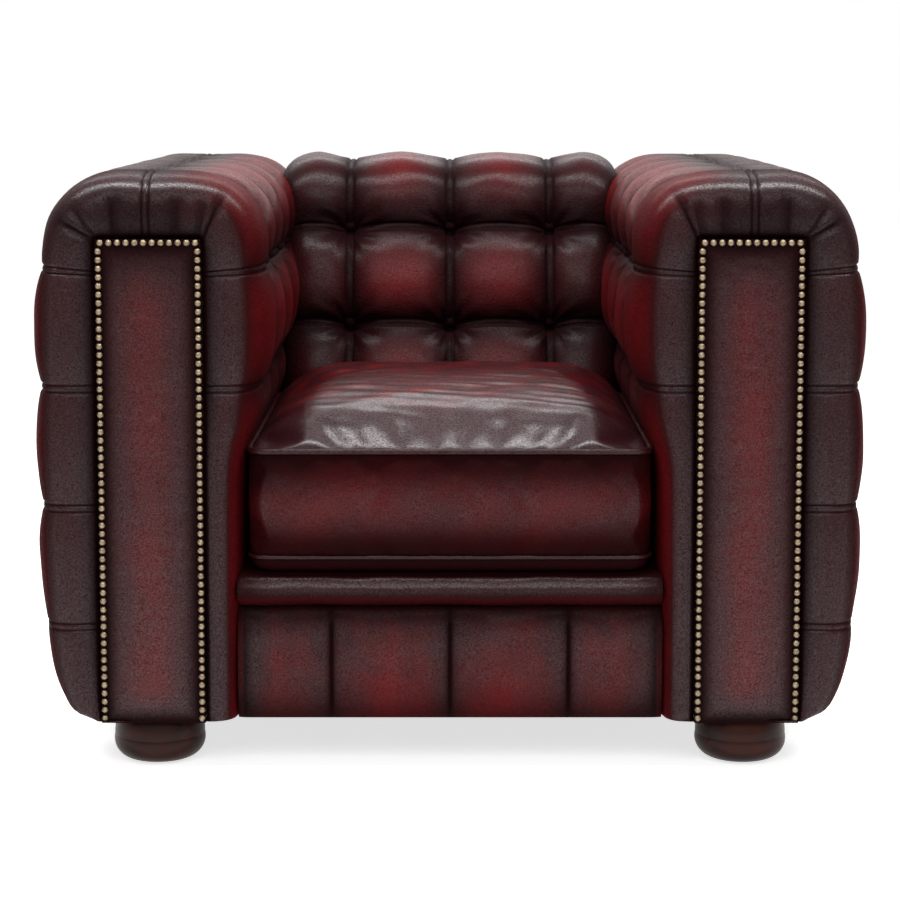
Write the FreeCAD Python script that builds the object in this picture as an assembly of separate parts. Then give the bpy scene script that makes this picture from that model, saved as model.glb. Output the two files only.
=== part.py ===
"""Chesterfield armchair with high box arms, biscuit-tufted leather, nailed front facings and bun feet.

Millimetres. +Z up, the chair faces -Y, and +X is the sitter's left. The origin is on the floor, under the
middle of the chair. Left pieces are drawn at +X and mirrored for the right.
"""

import FreeCAD
import Part
import math
import os

Vector = FreeCAD.Vector

# Overall size
overall_width = 1080.0
overall_depth = 930.0
overall_height = 768.0
base_z = 66.0  # underside of the upholstery, where the feet begin

# Upholstery layers
leather = 2.0
layer_gap = 0.3  # play between two soft layers, and between a soft part and its neighbour

# Tufting
top_seam_drop = 122.0  # from the overall height down to the top seam
tuft_width = 155.0  # distance between two seams along the arm
back_tuft_width = 152.0  # the same across the back
tuft_bulge = 23.0  # how far a tuft stands out of its seams
lowest_seam_height = 121.0  # of the outer side, above the upholstery's underside
outer_rows = 4
bottom_tuck = 68.0  # how far the bottom edge of the outer side is drawn in from its widest point
bottom_bulge = 8.0
lowest_seam_tuck = 8.0

# Buttons
pit_radius = 12.0
pit_depth = 15.0
button_radius = 9.0
button_height = 6.0
button_rim = 2.0
twine_radius = 1.0

# Arms
arm_width = 278.0  # from the widest point of the outer side to the seat well
outer_shoulder = 86.0  # from the outer seam in to where the arm's top is level
inner_shoulder = 54.0
inner_overhang = 11.0  # the inner seams stand this far over the seat well
inner_bulge = 18.0
inner_low_bulge = 8.0
inner_low_gap = 6.0  # from the cushion's top seam up to the lowest inner tuft
band_offset = 160.0  # from the outer side's widest point to the sewn band along the top
band_half = 6.0
band_depth = 8.0
front_round = 30.0
rear_round = 45.0
rear_tuft_room = 10.0  # the tufts on the arm's rear end stand this far out of its plain face

# Front facings
facing_half = 67.0
facing_rise = 37.0  # the facing's top edge above the top seam
facing_drop = 4.0  # how far the facing hangs below the upholstery
facing_board = 12.0
facing_flange = 9.0
facing_crown = 7.0
facing_wadding = 1.0
border_setback = 8.0  # the arm's padded border lies this far behind the facing's crown

# Nails
nail_radius = 4.25
nail_dome = 3.2
nail_shank_radius = 0.8
nail_shank = 11.0
nail_pitch = 10.9
nail_edge = 4.5  # nail centre to the facing's edge

# Arm frame
board = 22.0
outer_padding = 76.0  # from the widest point of the outer side to the frame
inner_padding = 20.0  # from the seat well to the frame
top_padding = 50.0
rear_padding = 38.0
panel = 3.0
rail = 25.0
arm_top_rail_inset = 18.0
outer_rail_height = 78.0

# Seat frame and deck
deck_height = 188.0  # above the upholstery's underside
deck_build = 49.0  # from the seat rails' top to the deck's top
deck_lining = 1.0
hessian = 1.0
front_rail_setback = 33.0  # from the facing's crown to the front rail
cross_rail = 28.0
spring_rail_height = 55.0
rear_rail_height = 70.0
spring_rail_setback = 315.0  # from the chair's rear to the rail the springs end on

# Springs
spring_count = 5
spring_wire = 3.8
spring_width = 46.0
spring_pitch = 26.0
spring_side_gap = 4.0  # from the outer springs to the back's posts
clip_thickness = 1.0
clip_length = 20.0
clip_width = 30.0

# Front border
roll_setback = 10.0  # from the facing's crown
roll_height = 41.0
roll_radius = 18.0
rail_cover_setback = 13.0
rail_cover_round = 8.0

# Back
back_rake = 15.0
back_seam_rise = 20.0  # the inside back's upper seam above the arms' top seam
back_seam_pitch = 144.0
back_depth = 249.0  # from the chair's rear to the inside back's upper seam
back_low_drop = 7.0  # the lowest tuft ends this far below the cushion's top seam
back_low_bulge = 14.0
back_shoulder = 76.0
back_foam = 46.0
back_post = 45.0
back_post_inset = 33.0  # from the seat well's side in to the posts, clear of the arms' inner tufts
back_end_round = 24.0
webbing_width = 50.0
webbing_thickness = 2.0
webbing_count = 4
rear_panel = 4.0
rear_panel_setback = 50.0

# Seat cushion
cushion_side_gap = 5.0
cushion_front_setback = 17.0
cushion_rest = 0.6  # play between cushion and deck
cushion_thickness = 157.0  # from the underside to the top seam
cushion_low_seam = 21.0  # the lower seam above the underside
cushion_crown = 48.0
cushion_corner = 24.0
cushion_back_gap = 9.0
piping_radius = 2.5
piping_sunk = 1.2  # how far the piping beds into the leather

# Cushion zip
zip_length = 440.0
zip_tape_width = 28.0
zip_tape = 0.8
zip_chain_width = 5.0
zip_chain = 1.6
zip_stop = 3.0
zip_height = 80.0  # above the cushion's underside
slider_length = 14.0
slider_width = 9.0
slider_height = 5.0
slider_clear = 0.3

# Feet
foot_radius = 58.5
foot_top_radius = 50.0
foot_base_radius = 31.0
foot_widest_z = 34.0
foot_setback = 76.0  # from the chair's front or rear to the foot's middle
glide_radius = 27.0
glide = 3.0
glide_recess = 1.0
bolt_radius = 4.0
bolt_in_foot = 40.0
bolt_length = 74.0
nut_radius = 5.5
nut_flange_radius = 11.0
nut_flange = 1.5
bore_clear = 0.1
block = 28.0
block_length = 110.0
screw_radius = 2.0
screw_length = 44.0

# Small fixings
dowel_radius = 5.0
dowel_length = 50.0
dowel_edge = 7.0  # from the front board's rear face to the dowels of the front rail
dust_cover = 1.0
dust_cover_edge = 12.0
staple_crown = 10.0
staple_leg = 6.0
staple_wire = 0.9
staple_pitch = 78.0

# Worked out from the above: across the chair
arm_tip = overall_width / 2
seat_well_half = arm_tip - arm_width
inner_pinch_x = seat_well_half - inner_overhang
facing_x = arm_tip - band_offset
frame_outer_x = arm_tip - outer_padding
frame_inner_x = seat_well_half + inner_padding
seat_rail_x = frame_inner_x + panel
outer_rail_x = frame_outer_x - panel
cushion_half = seat_well_half - cushion_side_gap
back_ends = seat_well_half - back_post_inset

# Front to rear
rear_tip = overall_depth / 2
front_tip = -overall_depth / 2
border_y = front_tip + border_setback
facing_edge_y = front_tip + facing_crown
pocket_floor_y = facing_edge_y + facing_wadding + leather + facing_board
frame_front_y = pocket_floor_y + leather + layer_gap
front_board_rear_y = frame_front_y + board
arm_rear_y = rear_tip - rear_tuft_room
frame_rear_y = rear_tip - rear_padding
rear_board_front_y = frame_rear_y - board
front_rail_y = front_tip + front_rail_setback
roll_front_y = front_tip + roll_setback
rail_cover_front_y = front_tip + rail_cover_setback
spring_rail_y = rear_tip - spring_rail_setback
rear_panel_y = rear_tip - rear_panel_setback
rear_rail_y = rear_panel_y - rear_panel
cushion_front_y = front_tip + cushion_front_setback
foot_y = rear_tip - foot_setback

# Heights
frame_top_z = overall_height - top_padding
frame_bottom_z = base_z + dust_cover
open_z = base_z - front_round  # outlines run down to here, so that trimmed covers are open below
lowest_seam_z = base_z + lowest_seam_height
top_seam_z = overall_height - top_seam_drop
tuft_pitch = (top_seam_z - lowest_seam_z) / (outer_rows - 1)  # height between two seams
facing_top_z = top_seam_z + facing_rise
facing_bottom_z = base_z - facing_drop
deck_top_z = base_z + deck_height
seat_rail_top_z = deck_top_z - deck_build
roll_bottom_z = deck_top_z - roll_height
cushion_bottom_z = deck_top_z + cushion_rest
cushion_seam_z = cushion_bottom_z + cushion_thickness
cushion_low_seam_z = cushion_bottom_z + cushion_low_seam
zip_z = cushion_bottom_z + zip_height
inner_low_z = cushion_seam_z + inner_low_gap
back_seam_z = top_seam_z + back_seam_rise
back_low_z = cushion_seam_z - back_low_drop
spring_z = seat_rail_top_z + clip_thickness + layer_gap + spring_wire / 2
clip_top_z = spring_z + spring_wire / 2 + layer_gap + clip_thickness
hessian_top_z = clip_top_z + layer_gap + hessian

# Rake of the back
rake_slope = math.tan(math.radians(back_rake))
rake_cos = math.cos(math.radians(back_rake))
rake_sin = math.sin(math.radians(back_rake))
post_front = back_foam + (webbing_thickness + layer_gap) / rake_cos  # from the seam plane to the posts


def box(x0, x1, y0, y1, z0, z1):
    """A block between two corners."""
    return Part.makeBox(x1 - x0, y1 - y0, z1 - z0, Vector(x0, y0, z0))


def rod(start, direction, radius, length):
    """A round bar from start along direction."""
    return Part.makeCylinder(radius, length, start, direction)


def mirrored(shape):
    """The same piece on the other side of the chair."""
    return shape.mirror(Vector(0, 0, 0), Vector(1, 0, 0))


def both_sides(shapes):
    """The pieces and their mirror images."""
    return shapes + [mirrored(s) for s in shapes]


def group(shapes):
    """Several loose solids kept as one node."""
    return Part.makeCompound(shapes)


def above(shape, z):
    """The part of a shape that lies above a height."""
    if z <= shape.BoundBox.ZMin:
        return shape
    below = box(-overall_width, overall_width, -overall_depth, overall_depth, z - overall_height, z)
    return shape.cut(below)


def path_edges(steps, place):
    """Edges from (from, via, to) steps; via None is a straight line. place turns a pair into a point."""
    edges = []
    for start, via, end in steps:
        if via is None:
            edges.append(Part.makeLine(place(start), place(end)))
        else:
            edges.append(Part.Arc(place(start), place(via), place(end)).toShape())
    return edges


def polygon(points):
    """Closed straight steps round a list of points."""
    return [(a, None, b) for a, b in zip(points, points[1:] + points[:1])]


def prism_along_x(steps, x0, x1):
    """A (y, z) outline carried along X."""
    wire = Part.Wire(path_edges(steps, lambda p: Vector(x0, p[0], p[1])))
    return Part.Face(wire).extrude(Vector(x1 - x0, 0, 0))


def prism_along_y(steps, y0, y1):
    """An (x, z) outline carried along Y."""
    wire = Part.Wire(path_edges(steps, lambda p: Vector(p[0], y0, p[1])))
    return Part.Face(wire).extrude(Vector(0, y1 - y0, 0))


def shoulder_step(seam, level):
    """An arc from a seam up to the start of the level top, which it meets without a kink."""
    across = seam[0] - level[0]
    rise = level[1] - seam[1]
    radius = (across**2 + rise**2) / (2 * rise)
    centre_z = level[1] - radius
    lean = math.atan2(seam[1] - centre_z, abs(across))
    angle = (lean + math.pi / 2) / 2
    via = (level[0] + math.copysign(radius * math.cos(angle), across), centre_z + radius * math.sin(angle))
    return seam, via, level


def outer_side(tip, inset):
    """The scalloped outer side, from open_z up to the level top, in (outward, z)."""
    pinch = tip - tuft_bulge - inset
    edge = (tip - bottom_tuck - inset, base_z)
    low = (pinch - lowest_seam_tuck, lowest_seam_z)
    low_via = ((edge[0] + low[0]) / 2 + bottom_bulge, (edge[1] + low[1]) / 2)
    steps = [((edge[0], open_z), None, edge), (edge, low_via, low)]
    here = low
    for row in range(1, outer_rows):
        there = (pinch, lowest_seam_z + row * tuft_pitch)
        via = ((here[0] + there[0]) / 2 + tuft_bulge, (here[1] + there[1]) / 2)
        steps.append((here, via, there))
        here = there
    level = (tip - tuft_bulge - outer_shoulder, overall_height - inset)
    steps.append(shoulder_step(here, level))
    return steps


def arm_section(inset):
    """The arm's whole outline in (x, z), every side drawn inward by inset."""
    steps = outer_side(arm_tip, inset)
    top = overall_height - inset
    band_out = (facing_x + band_half, top - band_depth)
    band_in = (facing_x - band_half, top - band_depth)
    level = (inner_pinch_x + inner_shoulder, top)
    pinch_top = (inner_pinch_x + inset, top_seam_z)
    pinch_low = (inner_pinch_x + inset, top_seam_z - tuft_pitch)
    low = (seat_well_half + inset, inner_low_z)
    corner = (seat_well_half + inset, open_z)
    bulge = (inner_pinch_x - inner_bulge + inset, top_seam_z - tuft_pitch / 2)
    low_bulge = ((pinch_low[0] + low[0]) / 2 - inner_low_bulge, (pinch_low[1] + low[1]) / 2)
    seam, via, _ = shoulder_step(pinch_top, level)
    steps.append((steps[-1][2], None, band_out))
    steps.append((band_out, None, band_in))
    steps.append((band_in, None, level))
    steps.append((level, via, seam))
    steps.append((pinch_top, bulge, pinch_low))
    steps.append((pinch_low, low_bulge, low))
    steps.append((low, None, corner))
    steps.append((corner, None, steps[0][0]))
    return steps


def arm_body(inset, bottom_z):
    """The arm with both ends rounded over, lofted through its outline and trimmed level at bottom_z."""
    front_r = front_round - inset
    rear_r = rear_round - inset
    stations = []
    for angle in (0, 30, 60, 90):
        a = math.radians(angle)
        depth = border_y + inset + front_r * (1 - math.cos(a))
        stations.append((depth, inset + front_r * (1 - math.sin(a))))
    for angle in (90, 60, 30, 0):
        a = math.radians(angle)
        depth = arm_rear_y - inset - rear_r * (1 - math.cos(a))
        stations.append((depth, inset + rear_r * (1 - math.sin(a))))
    wires = []
    for y, drawn_in in stations:
        steps = arm_section(drawn_in)
        edges = path_edges(steps, lambda p, y=y: Vector(p[0], y, p[1]))
        wires.append(Part.Wire(edges))
    return above(Part.makeLoft(wires, True, True), bottom_z)


def facing_pocket(grow):
    """The recess in the arm's front border that the facing sits in."""
    room = facing_half + layer_gap + grow
    top = facing_top_z + layer_gap + grow
    floor_y = pocket_floor_y + grow
    return box(facing_x - room, facing_x + room, front_tip - board, floor_y, open_z - board, top)


def arm_button_sites():
    """(point on the pit's floor, outward direction, outer side?) for each button of the left arm."""
    sites = []
    outward = Vector(1, 0, 0)
    for row in range(outer_rows):
        z = lowest_seam_z + row * tuft_pitch
        floor_x = arm_tip - tuft_bulge - pit_depth
        if row == 0:
            floor_x = floor_x - lowest_seam_tuck
        for column in range(-2, 3):
            sites.append((Vector(floor_x, column * tuft_width, z), outward, True))
        sites.append((Vector(facing_x, arm_rear_y - pit_depth, z), Vector(0, 1, 0), True))
    inward = Vector(-1, 0, 0)
    inner_floor_x = inner_pinch_x + pit_depth
    for column in range(-2, 2):
        sites.append((Vector(inner_floor_x, column * tuft_width, top_seam_z), inward, False))
    for column in range(-2, 1):
        low_z = top_seam_z - tuft_pitch
        sites.append((Vector(inner_floor_x, column * tuft_width, low_z), inward, False))
    return sites


def rake_y(z):
    """Depth of the inside back's seam plane at a height."""
    return rear_tip - back_depth + (z - back_seam_z) * rake_slope


def back_button_sites():
    """(point on the pit's floor, outward direction, rear side?) for each button of the back."""
    sites = []
    forward = Vector(0, -rake_cos, rake_sin)
    for row in range(2):
        z = back_seam_z - row * back_seam_pitch
        for column in (-1, 0, 1):
            seam = Vector(column * back_tuft_width, rake_y(z), z)
            sites.append((seam - forward * pit_depth, forward, False))
    for row in range(outer_rows):
        z = lowest_seam_z + row * tuft_pitch
        floor_y = rear_tip - tuft_bulge - pit_depth
        if row == 0:
            floor_y = floor_y - lowest_seam_tuck
        for column in (-1, 0, 1):
            sites.append((Vector(column * back_tuft_width, floor_y, z), Vector(0, 1, 0), True))
    return sites


def pits(sites, grow):
    """Round pits for the buttons, each from its floor out past the tufts."""
    reach = pit_depth + 2 * tuft_bulge
    return [rod(p - d * grow, d, pit_radius + grow, reach) for p, d, _ in sites]


def dome_via(radius, height):
    """(radius, height) of the point halfway along a dome's outline, from its rim at height 0 to its top."""
    ball = (radius**2 + height**2) / (2 * height)
    angle = math.asin(radius / ball) / 2
    return ball * math.sin(angle), height - ball * (1 - math.cos(angle))


def button(site, direction, twine):
    """A leather-covered button with its dome outwards and its twine running in."""
    rim = (button_radius, button_rim)
    across, rise = dome_via(button_radius, button_height - button_rim)
    via = (across, button_rim + rise)
    steps = [
        ((0, -twine), None, (twine_radius, -twine)),
        ((twine_radius, -twine), None, (twine_radius, 0)),
        ((twine_radius, 0), None, (button_radius, 0)),
        ((button_radius, 0), None, rim),
        (rim, via, (0, button_height)),
        ((0, button_height), None, (0, -twine)),
    ]
    face = Part.Face(Part.Wire(path_edges(steps, lambda p: Vector(p[0], 0, p[1]))))
    shape = face.revolve(Vector(0, 0, 0), Vector(0, 0, 1), 360)
    turn = FreeCAD.Rotation(Vector(0, 0, 1), direction)
    shape.Placement = FreeCAD.Placement(site, turn)
    return shape


def arm_upholstery():
    """The left arm's leather cover and foam."""
    sites = arm_button_sites()
    well = box(
        inner_pinch_x - 2 * inner_bulge,
        frame_inner_x,
        front_rail_y - layer_gap,
        rear_tip,
        open_z - 1,
        deck_top_z + layer_gap,
    )
    outer = arm_body(0, base_z).cut([facing_pocket(0)] + pits(sites, 0))
    inner = arm_body(leather, open_z).cut([facing_pocket(leather)] + pits(sites, leather))
    cover = outer.cut([inner, well])
    grow = leather + layer_gap
    foam = arm_body(grow, frame_bottom_z).cut([facing_pocket(grow)] + pits(sites, grow))
    cavity = box(
        frame_inner_x,
        frame_outer_x,
        frame_front_y - 1,
        frame_rear_y,
        open_z,
        frame_top_z,
    )
    foam = foam.cut([cavity, well])
    return cover, foam


def arm_buttons():
    """The left arm's buttons: those of the outer side and rear end, and those of the inner side."""
    outer, inner = [], []
    for point, direction, is_outer in arm_button_sites():
        if direction.y > 0:
            twine = point.y - rear_board_front_y - board / 2
        elif is_outer:
            twine = point.x - frame_outer_x + panel
        else:
            twine = frame_inner_x + panel - point.x
        made = button(point, direction, twine)
        (outer if is_outer else inner).append(made)
    return outer, inner


def arm_frame():
    """The left arm's end boards, top rail and seat side rail."""
    y0 = front_board_rear_y
    y1 = rear_board_front_y
    top_x0 = seat_rail_x + arm_top_rail_inset
    top_x1 = outer_rail_x - arm_top_rail_inset
    rail_x1 = seat_rail_x + rail
    return {
        "arm_front_board": box(seat_rail_x, outer_rail_x, frame_front_y, y0, frame_bottom_z, frame_top_z),
        "arm_rear_board": box(seat_rail_x, outer_rail_x, y1, frame_rear_y, frame_bottom_z, frame_top_z),
        "arm_top_rail": box(top_x0, top_x1, y0, y1, frame_top_z - board, frame_top_z),
        "seat_side_rail": box(seat_rail_x, rail_x1, y0, y1, frame_bottom_z, seat_rail_top_z),
    }


def arm_base_and_panels():
    """The left arm's outer base rail, and the thin panels on its inner and outer side."""
    base_top = frame_bottom_z + outer_rail_height
    base_rail = box(
        outer_rail_x - rail,
        outer_rail_x,
        front_board_rear_y,
        rear_board_front_y,
        frame_bottom_z,
        base_top,
    )
    panels = []
    sides = [
        (frame_inner_x, seat_rail_x, deck_top_z + layer_gap),
        (outer_rail_x, frame_outer_x, frame_bottom_z),
    ]
    for x0, x1, z0 in sides:
        panels.append(box(x0, x1, frame_front_y, frame_rear_y, z0, frame_top_z))
    return base_rail, panels


def facing():
    """The left facing: plywood board, wadding and a crowned leather cover with flat nailing edges."""
    x0 = facing_x - facing_half
    x1 = facing_x + facing_half
    board_y = facing_edge_y + facing_wadding + leather
    inside = box(
        x0 + leather,
        x1 - leather,
        board_y,
        pocket_floor_y,
        facing_bottom_z + leather,
        facing_top_z - leather,
    )
    crown_half = facing_half - facing_flange

    def crown(inset):
        chord = facing_edge_y + facing_wadding + inset
        left = (facing_x - crown_half + inset, chord)
        right = (facing_x + crown_half - inset, chord)
        rise = facing_edge_y - facing_crown + inset
        low = facing_bottom_z + facing_flange + inset
        high = facing_top_z - facing_flange - facing_crown - inset
        steps = [(left, (facing_x, rise), right), (right, None, left)]
        edges = path_edges(steps, lambda p: Vector(p[0], p[1], low))
        return Part.Face(Part.Wire(edges)).extrude(Vector(0, 0, high - low))

    outer = box(x0, x1, facing_edge_y, pocket_floor_y, facing_bottom_z, facing_top_z).fuse(crown(0))
    hollow = box(
        x0 + leather,
        x1 - leather,
        facing_edge_y + leather,
        pocket_floor_y,
        facing_bottom_z + leather,
        facing_top_z - leather,
    ).fuse(crown(leather))
    cover = outer.cut(hollow)
    wadding = hollow.cut(inside)
    return inside, wadding, cover


def nail():
    """One dome-headed nail pointing along +Y, its head's underside at the origin."""
    across, rise = dome_via(nail_radius, nail_dome)
    steps = [
        ((0, -nail_dome), (across, -rise), (nail_radius, 0)),
        ((nail_radius, 0), None, (nail_shank_radius, 0)),
        ((nail_shank_radius, 0), None, (nail_shank_radius, nail_shank)),
        ((nail_shank_radius, nail_shank), None, (0, nail_shank)),
        ((0, nail_shank), None, (0, -nail_dome)),
    ]
    face = Part.Face(Part.Wire(path_edges(steps, lambda p: Vector(p[0], p[1], 0))))
    return face.revolve(Vector(0, 0, 0), Vector(0, 1, 0), 360)


def facing_nails():
    """The left facing's nails, down both edges and across the top."""
    one = nail()
    column = facing_half - nail_edge
    top_z = facing_top_z - nail_edge
    across = int(2 * column / nail_pitch)
    down = int((top_z - facing_bottom_z - nail_edge) / nail_pitch)
    places = []
    for i in range(across + 1):
        places.append((facing_x + (i - across / 2) * nail_pitch, top_z))
    for i in range(1, down + 1):
        places.append((facing_x - column, top_z - i * nail_pitch))
        places.append((facing_x + column, top_z - i * nail_pitch))
    nails = []
    for x, z in places:
        copy = one.copy()
        copy.translate(Vector(x, facing_edge_y, z))
        nails.append(copy)
    return nails


def back_section(inset, open_by):
    """The back's outline in (y, z). open_by lengthens it below the raked inside."""
    top = overall_height - inset
    low_y = rake_y(deck_top_z) + inset / rake_cos
    inner_bottom = (low_y - open_by * rake_slope, deck_top_z + layer_gap - open_by)
    low = (rake_y(back_low_z) + inset / rake_cos, back_low_z)
    pinch_z = back_seam_z - back_seam_pitch
    pinch_low = (rake_y(pinch_z) + inset / rake_cos, pinch_z)
    pinch = (rake_y(back_seam_z) + inset / rake_cos, back_seam_z)

    def bulged(a, b, bulge):
        return ((a[0] + b[0]) / 2 - bulge * rake_cos, (a[1] + b[1]) / 2 + bulge * rake_sin)

    level = (rake_y(back_seam_z) + back_shoulder, top)
    rear = [(end, via, start) for start, via, end in reversed(outer_side(rear_tip, inset))]
    opening_y = spring_rail_y - open_by
    steps = [
        (inner_bottom, None, low),
        (low, bulged(low, pinch_low, back_low_bulge), pinch_low),
        (pinch_low, bulged(pinch_low, pinch, tuft_bulge), pinch),
        shoulder_step(pinch, level),
        (level, None, rear[0][0]),
    ]
    steps += rear
    steps += [
        (rear[-1][2], None, (opening_y, open_z)),
        ((opening_y, open_z), None, (opening_y, inner_bottom[1])),
        ((opening_y, inner_bottom[1]), None, inner_bottom),
    ]
    return steps


def back_body(inset, open_by, bottom_z):
    """The back between the arms, shaped to the arms' inner sides and trimmed level at bottom_z."""
    half = seat_well_half - inset
    body = prism_along_x(back_section(inset, open_by), -half, half)
    beside = prism_along_y(arm_section(-inset - layer_gap), 0, 2 * rear_tip)
    lip = back_end_round - inset
    corner = [
        ((half - lip, overall_height - inset), None, (half + 1, overall_height - inset)),
        ((half + 1, overall_height - inset), None, (half + 1, overall_height - back_end_round)),
        ((half + 1, overall_height - back_end_round), None, (half, overall_height - back_end_round)),
        (
            (half, overall_height - back_end_round),
            (half - lip + lip * math.sqrt(0.5), overall_height - back_end_round + lip * math.sqrt(0.5)),
            (half - lip, overall_height - inset),
        ),
    ]
    shoulder = prism_along_y(corner, 0, 2 * rear_tip)
    return above(body.cut(both_sides([beside, shoulder])), bottom_z)


def back_upholstery():
    """The back's leather cover and foam."""
    sites = back_button_sites()
    outer = back_body(0, 0, base_z).cut(pits(sites, 0))
    inner = back_body(leather, leather, open_z).cut(pits(sites, leather))
    cover = outer.cut(inner)
    grow = leather + layer_gap
    front = [
        (spring_rail_y - front_round, open_z),
        (spring_rail_y - front_round, deck_top_z),
        (rake_y(deck_top_z) + back_foam, deck_top_z),
        (rake_y(frame_top_z) + back_foam, frame_top_z),
        (rear_panel_y, frame_top_z),
        (rear_panel_y, open_z),
    ]
    cavity = prism_along_x(polygon(front), -overall_width, overall_width)
    under = box(-overall_width, overall_width, 0, rear_panel_y, 0, deck_top_z + layer_gap)
    foam = back_body(grow, 0, frame_bottom_z).cut([cavity, under] + pits(sites, grow))
    return cover.cut(under), foam


def back_buttons():
    """The back's buttons: those of the inside and those of the rear."""
    inside, rear = [], []
    for point, direction, is_rear in back_button_sites():
        if is_rear:
            twine = point.y - rear_rail_y
        else:
            twine = (back_foam + webbing_thickness / 2) * rake_cos - pit_depth
        (rear if is_rear else inside).append(button(point, direction, twine))
    return inside, rear


def raked(front, depth, low, high):
    """A (y, z) outline that leans with the back; front is its distance behind the seam plane."""
    return polygon(
        [
            (rake_y(low) + front, low),
            (rake_y(low) + front + depth, low),
            (rake_y(high) + front + depth, high),
            (rake_y(high) + front, high),
        ]
    )


def back_frame():
    """The back's frame: raked posts, uprights at the rear, a top board, panel and webbing."""
    top = frame_top_z - board
    inner = back_ends - cross_rail
    post = prism_along_x(raked(post_front, back_post, seat_rail_top_z, top), inner, back_ends)
    top_board = box(-back_ends, back_ends, rake_y(frame_top_z) + post_front, rear_rail_y, top, frame_top_z)
    upright_bottom = frame_bottom_z + rear_rail_height
    upright = box(inner, back_ends, rear_rail_y - cross_rail, rear_rail_y, upright_bottom, top)
    sheet = box(-back_ends, back_ends, rear_rail_y, rear_panel_y, frame_bottom_z, frame_top_z)
    straps = []
    usable = top - deck_top_z - webbing_width
    for i in range(webbing_count):
        low = deck_top_z + usable * (i + 0.5) / webbing_count
        front = back_foam + layer_gap / 2
        strap = raked(front, webbing_thickness / rake_cos, low, low + webbing_width)
        straps.append(prism_along_x(strap, -back_ends, back_ends))
    return {
        "back_posts": group(both_sides([post])),
        "back_top_board": top_board,
        "back_rear_uprights": group(both_sides([upright])),
        "back_rear_panel": sheet,
        "back_webbing": group(straps),
    }


def cross_rail_at(y, low, high):
    """A rail across the chair between the two side rails, its front face at y."""
    return box(-seat_rail_x, seat_rail_x, y, y + cross_rail, low, high)


def seat_frame():
    """Front rail, the rail that the springs end on, and rear rail."""
    rear_top = frame_bottom_z + rear_rail_height
    spring_rail_bottom = seat_rail_top_z - spring_rail_height
    return {
        "seat_front_rail": cross_rail_at(front_rail_y, frame_bottom_z, seat_rail_top_z),
        "seat_spring_rail": cross_rail_at(spring_rail_y, spring_rail_bottom, seat_rail_top_z),
        "seat_rear_rail": cross_rail_at(rear_rail_y - cross_rail, frame_bottom_z, rear_top),
    }


def dowels():
    """Two dowels in each end of each cross rail."""
    made = []
    rails = [
        (front_board_rear_y + dowel_edge, frame_bottom_z, seat_rail_top_z),
        (spring_rail_y + cross_rail / 2, seat_rail_top_z - spring_rail_height, seat_rail_top_z),
        (rear_rail_y - cross_rail / 2, frame_bottom_z, frame_bottom_z + rear_rail_height),
    ]
    for y, low, high in rails:
        for share in (0.28, 0.72):
            start = Vector(seat_rail_x - dowel_length / 2, y, low + (high - low) * share)
            made.append(rod(start, Vector(1, 0, 0), dowel_radius, dowel_length))
    return both_sides(made)


def seat_springs():
    """Zigzag springs from the front rail to the spring rail, with a clip over each end."""
    radius = spring_pitch / 4
    half = spring_width / 2 - radius
    start_y = front_rail_y + cross_rail / 2
    end_y = spring_rail_y + cross_rail / 2
    turns = int((end_y - start_y) / (2 * radius))
    start_y = (start_y + end_y) / 2 - turns * radius
    springs, clips = [], []
    reach = back_ends - cross_rail - spring_side_gap - spring_width / 2
    spacing = 2 * reach / (spring_count - 1)
    for i in range(spring_count):
        x = (i - (spring_count - 1) / 2) * spacing
        side = 1
        y = start_y
        edges = [Part.makeLine(Vector(x, y, spring_z), Vector(x + half, y, spring_z))]
        for turn in range(turns):
            a = Vector(x + side * half, y, spring_z)
            via = Vector(x + side * (half + radius), y + radius, spring_z)
            b = Vector(x + side * half, y + 2 * radius, spring_z)
            edges.append(Part.Arc(a, via, b).toShape())
            far = x if turn == turns - 1 else x - side * half
            y = y + 2 * radius
            edges.append(Part.makeLine(b, Vector(far, y, spring_z)))
            side = -side
        start = Vector(x, start_y, spring_z)
        profile = Part.Wire([Part.makeCircle(spring_wire / 2, start, Vector(1, 0, 0))])
        springs.append(Part.Wire(edges).makePipeShell([profile], True, False))
        clips.append(spring_clip(x, start_y, -1))
        clips.append(spring_clip(x, y, 1))
    return springs, clips


def spring_clip(x, y, outward):
    """A plate folded over the spring's end: a foot on the rail, an upright and a tongue above the wire."""
    x0 = x - clip_width / 2
    x1 = x + clip_width / 2
    far = y + outward * clip_length / 2
    y0, y1 = sorted((y - outward * clip_length / 2, far))
    wall0, wall1 = sorted((far, far - outward * clip_thickness))
    foot = box(x0, x1, y0, y1, seat_rail_top_z, seat_rail_top_z + clip_thickness)
    tongue = box(x0, x1, y0, y1, clip_top_z - clip_thickness, clip_top_z)
    wall = box(x0, x1, wall0, wall1, seat_rail_top_z, clip_top_z)
    return foot.fuse([tongue, wall]).removeSplitter()


def seat_deck():
    """Hessian over the springs, a foam pad and a cloth lining on top."""
    half = seat_well_half - layer_gap
    y0 = front_rail_y + cross_rail
    y1 = rake_y(seat_rail_top_z) + post_front - layer_gap
    lining_z = deck_top_z - deck_lining
    return {
        "seat_hessian": box(-half, half, front_rail_y, y1, hessian_top_z - hessian, hessian_top_z),
        "seat_deck_pad": box(-half, half, y0, y1, hessian_top_z, lining_z),
        "seat_deck_lining": box(-half, half, y0, y1, lining_z, deck_top_z),
    }


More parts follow.
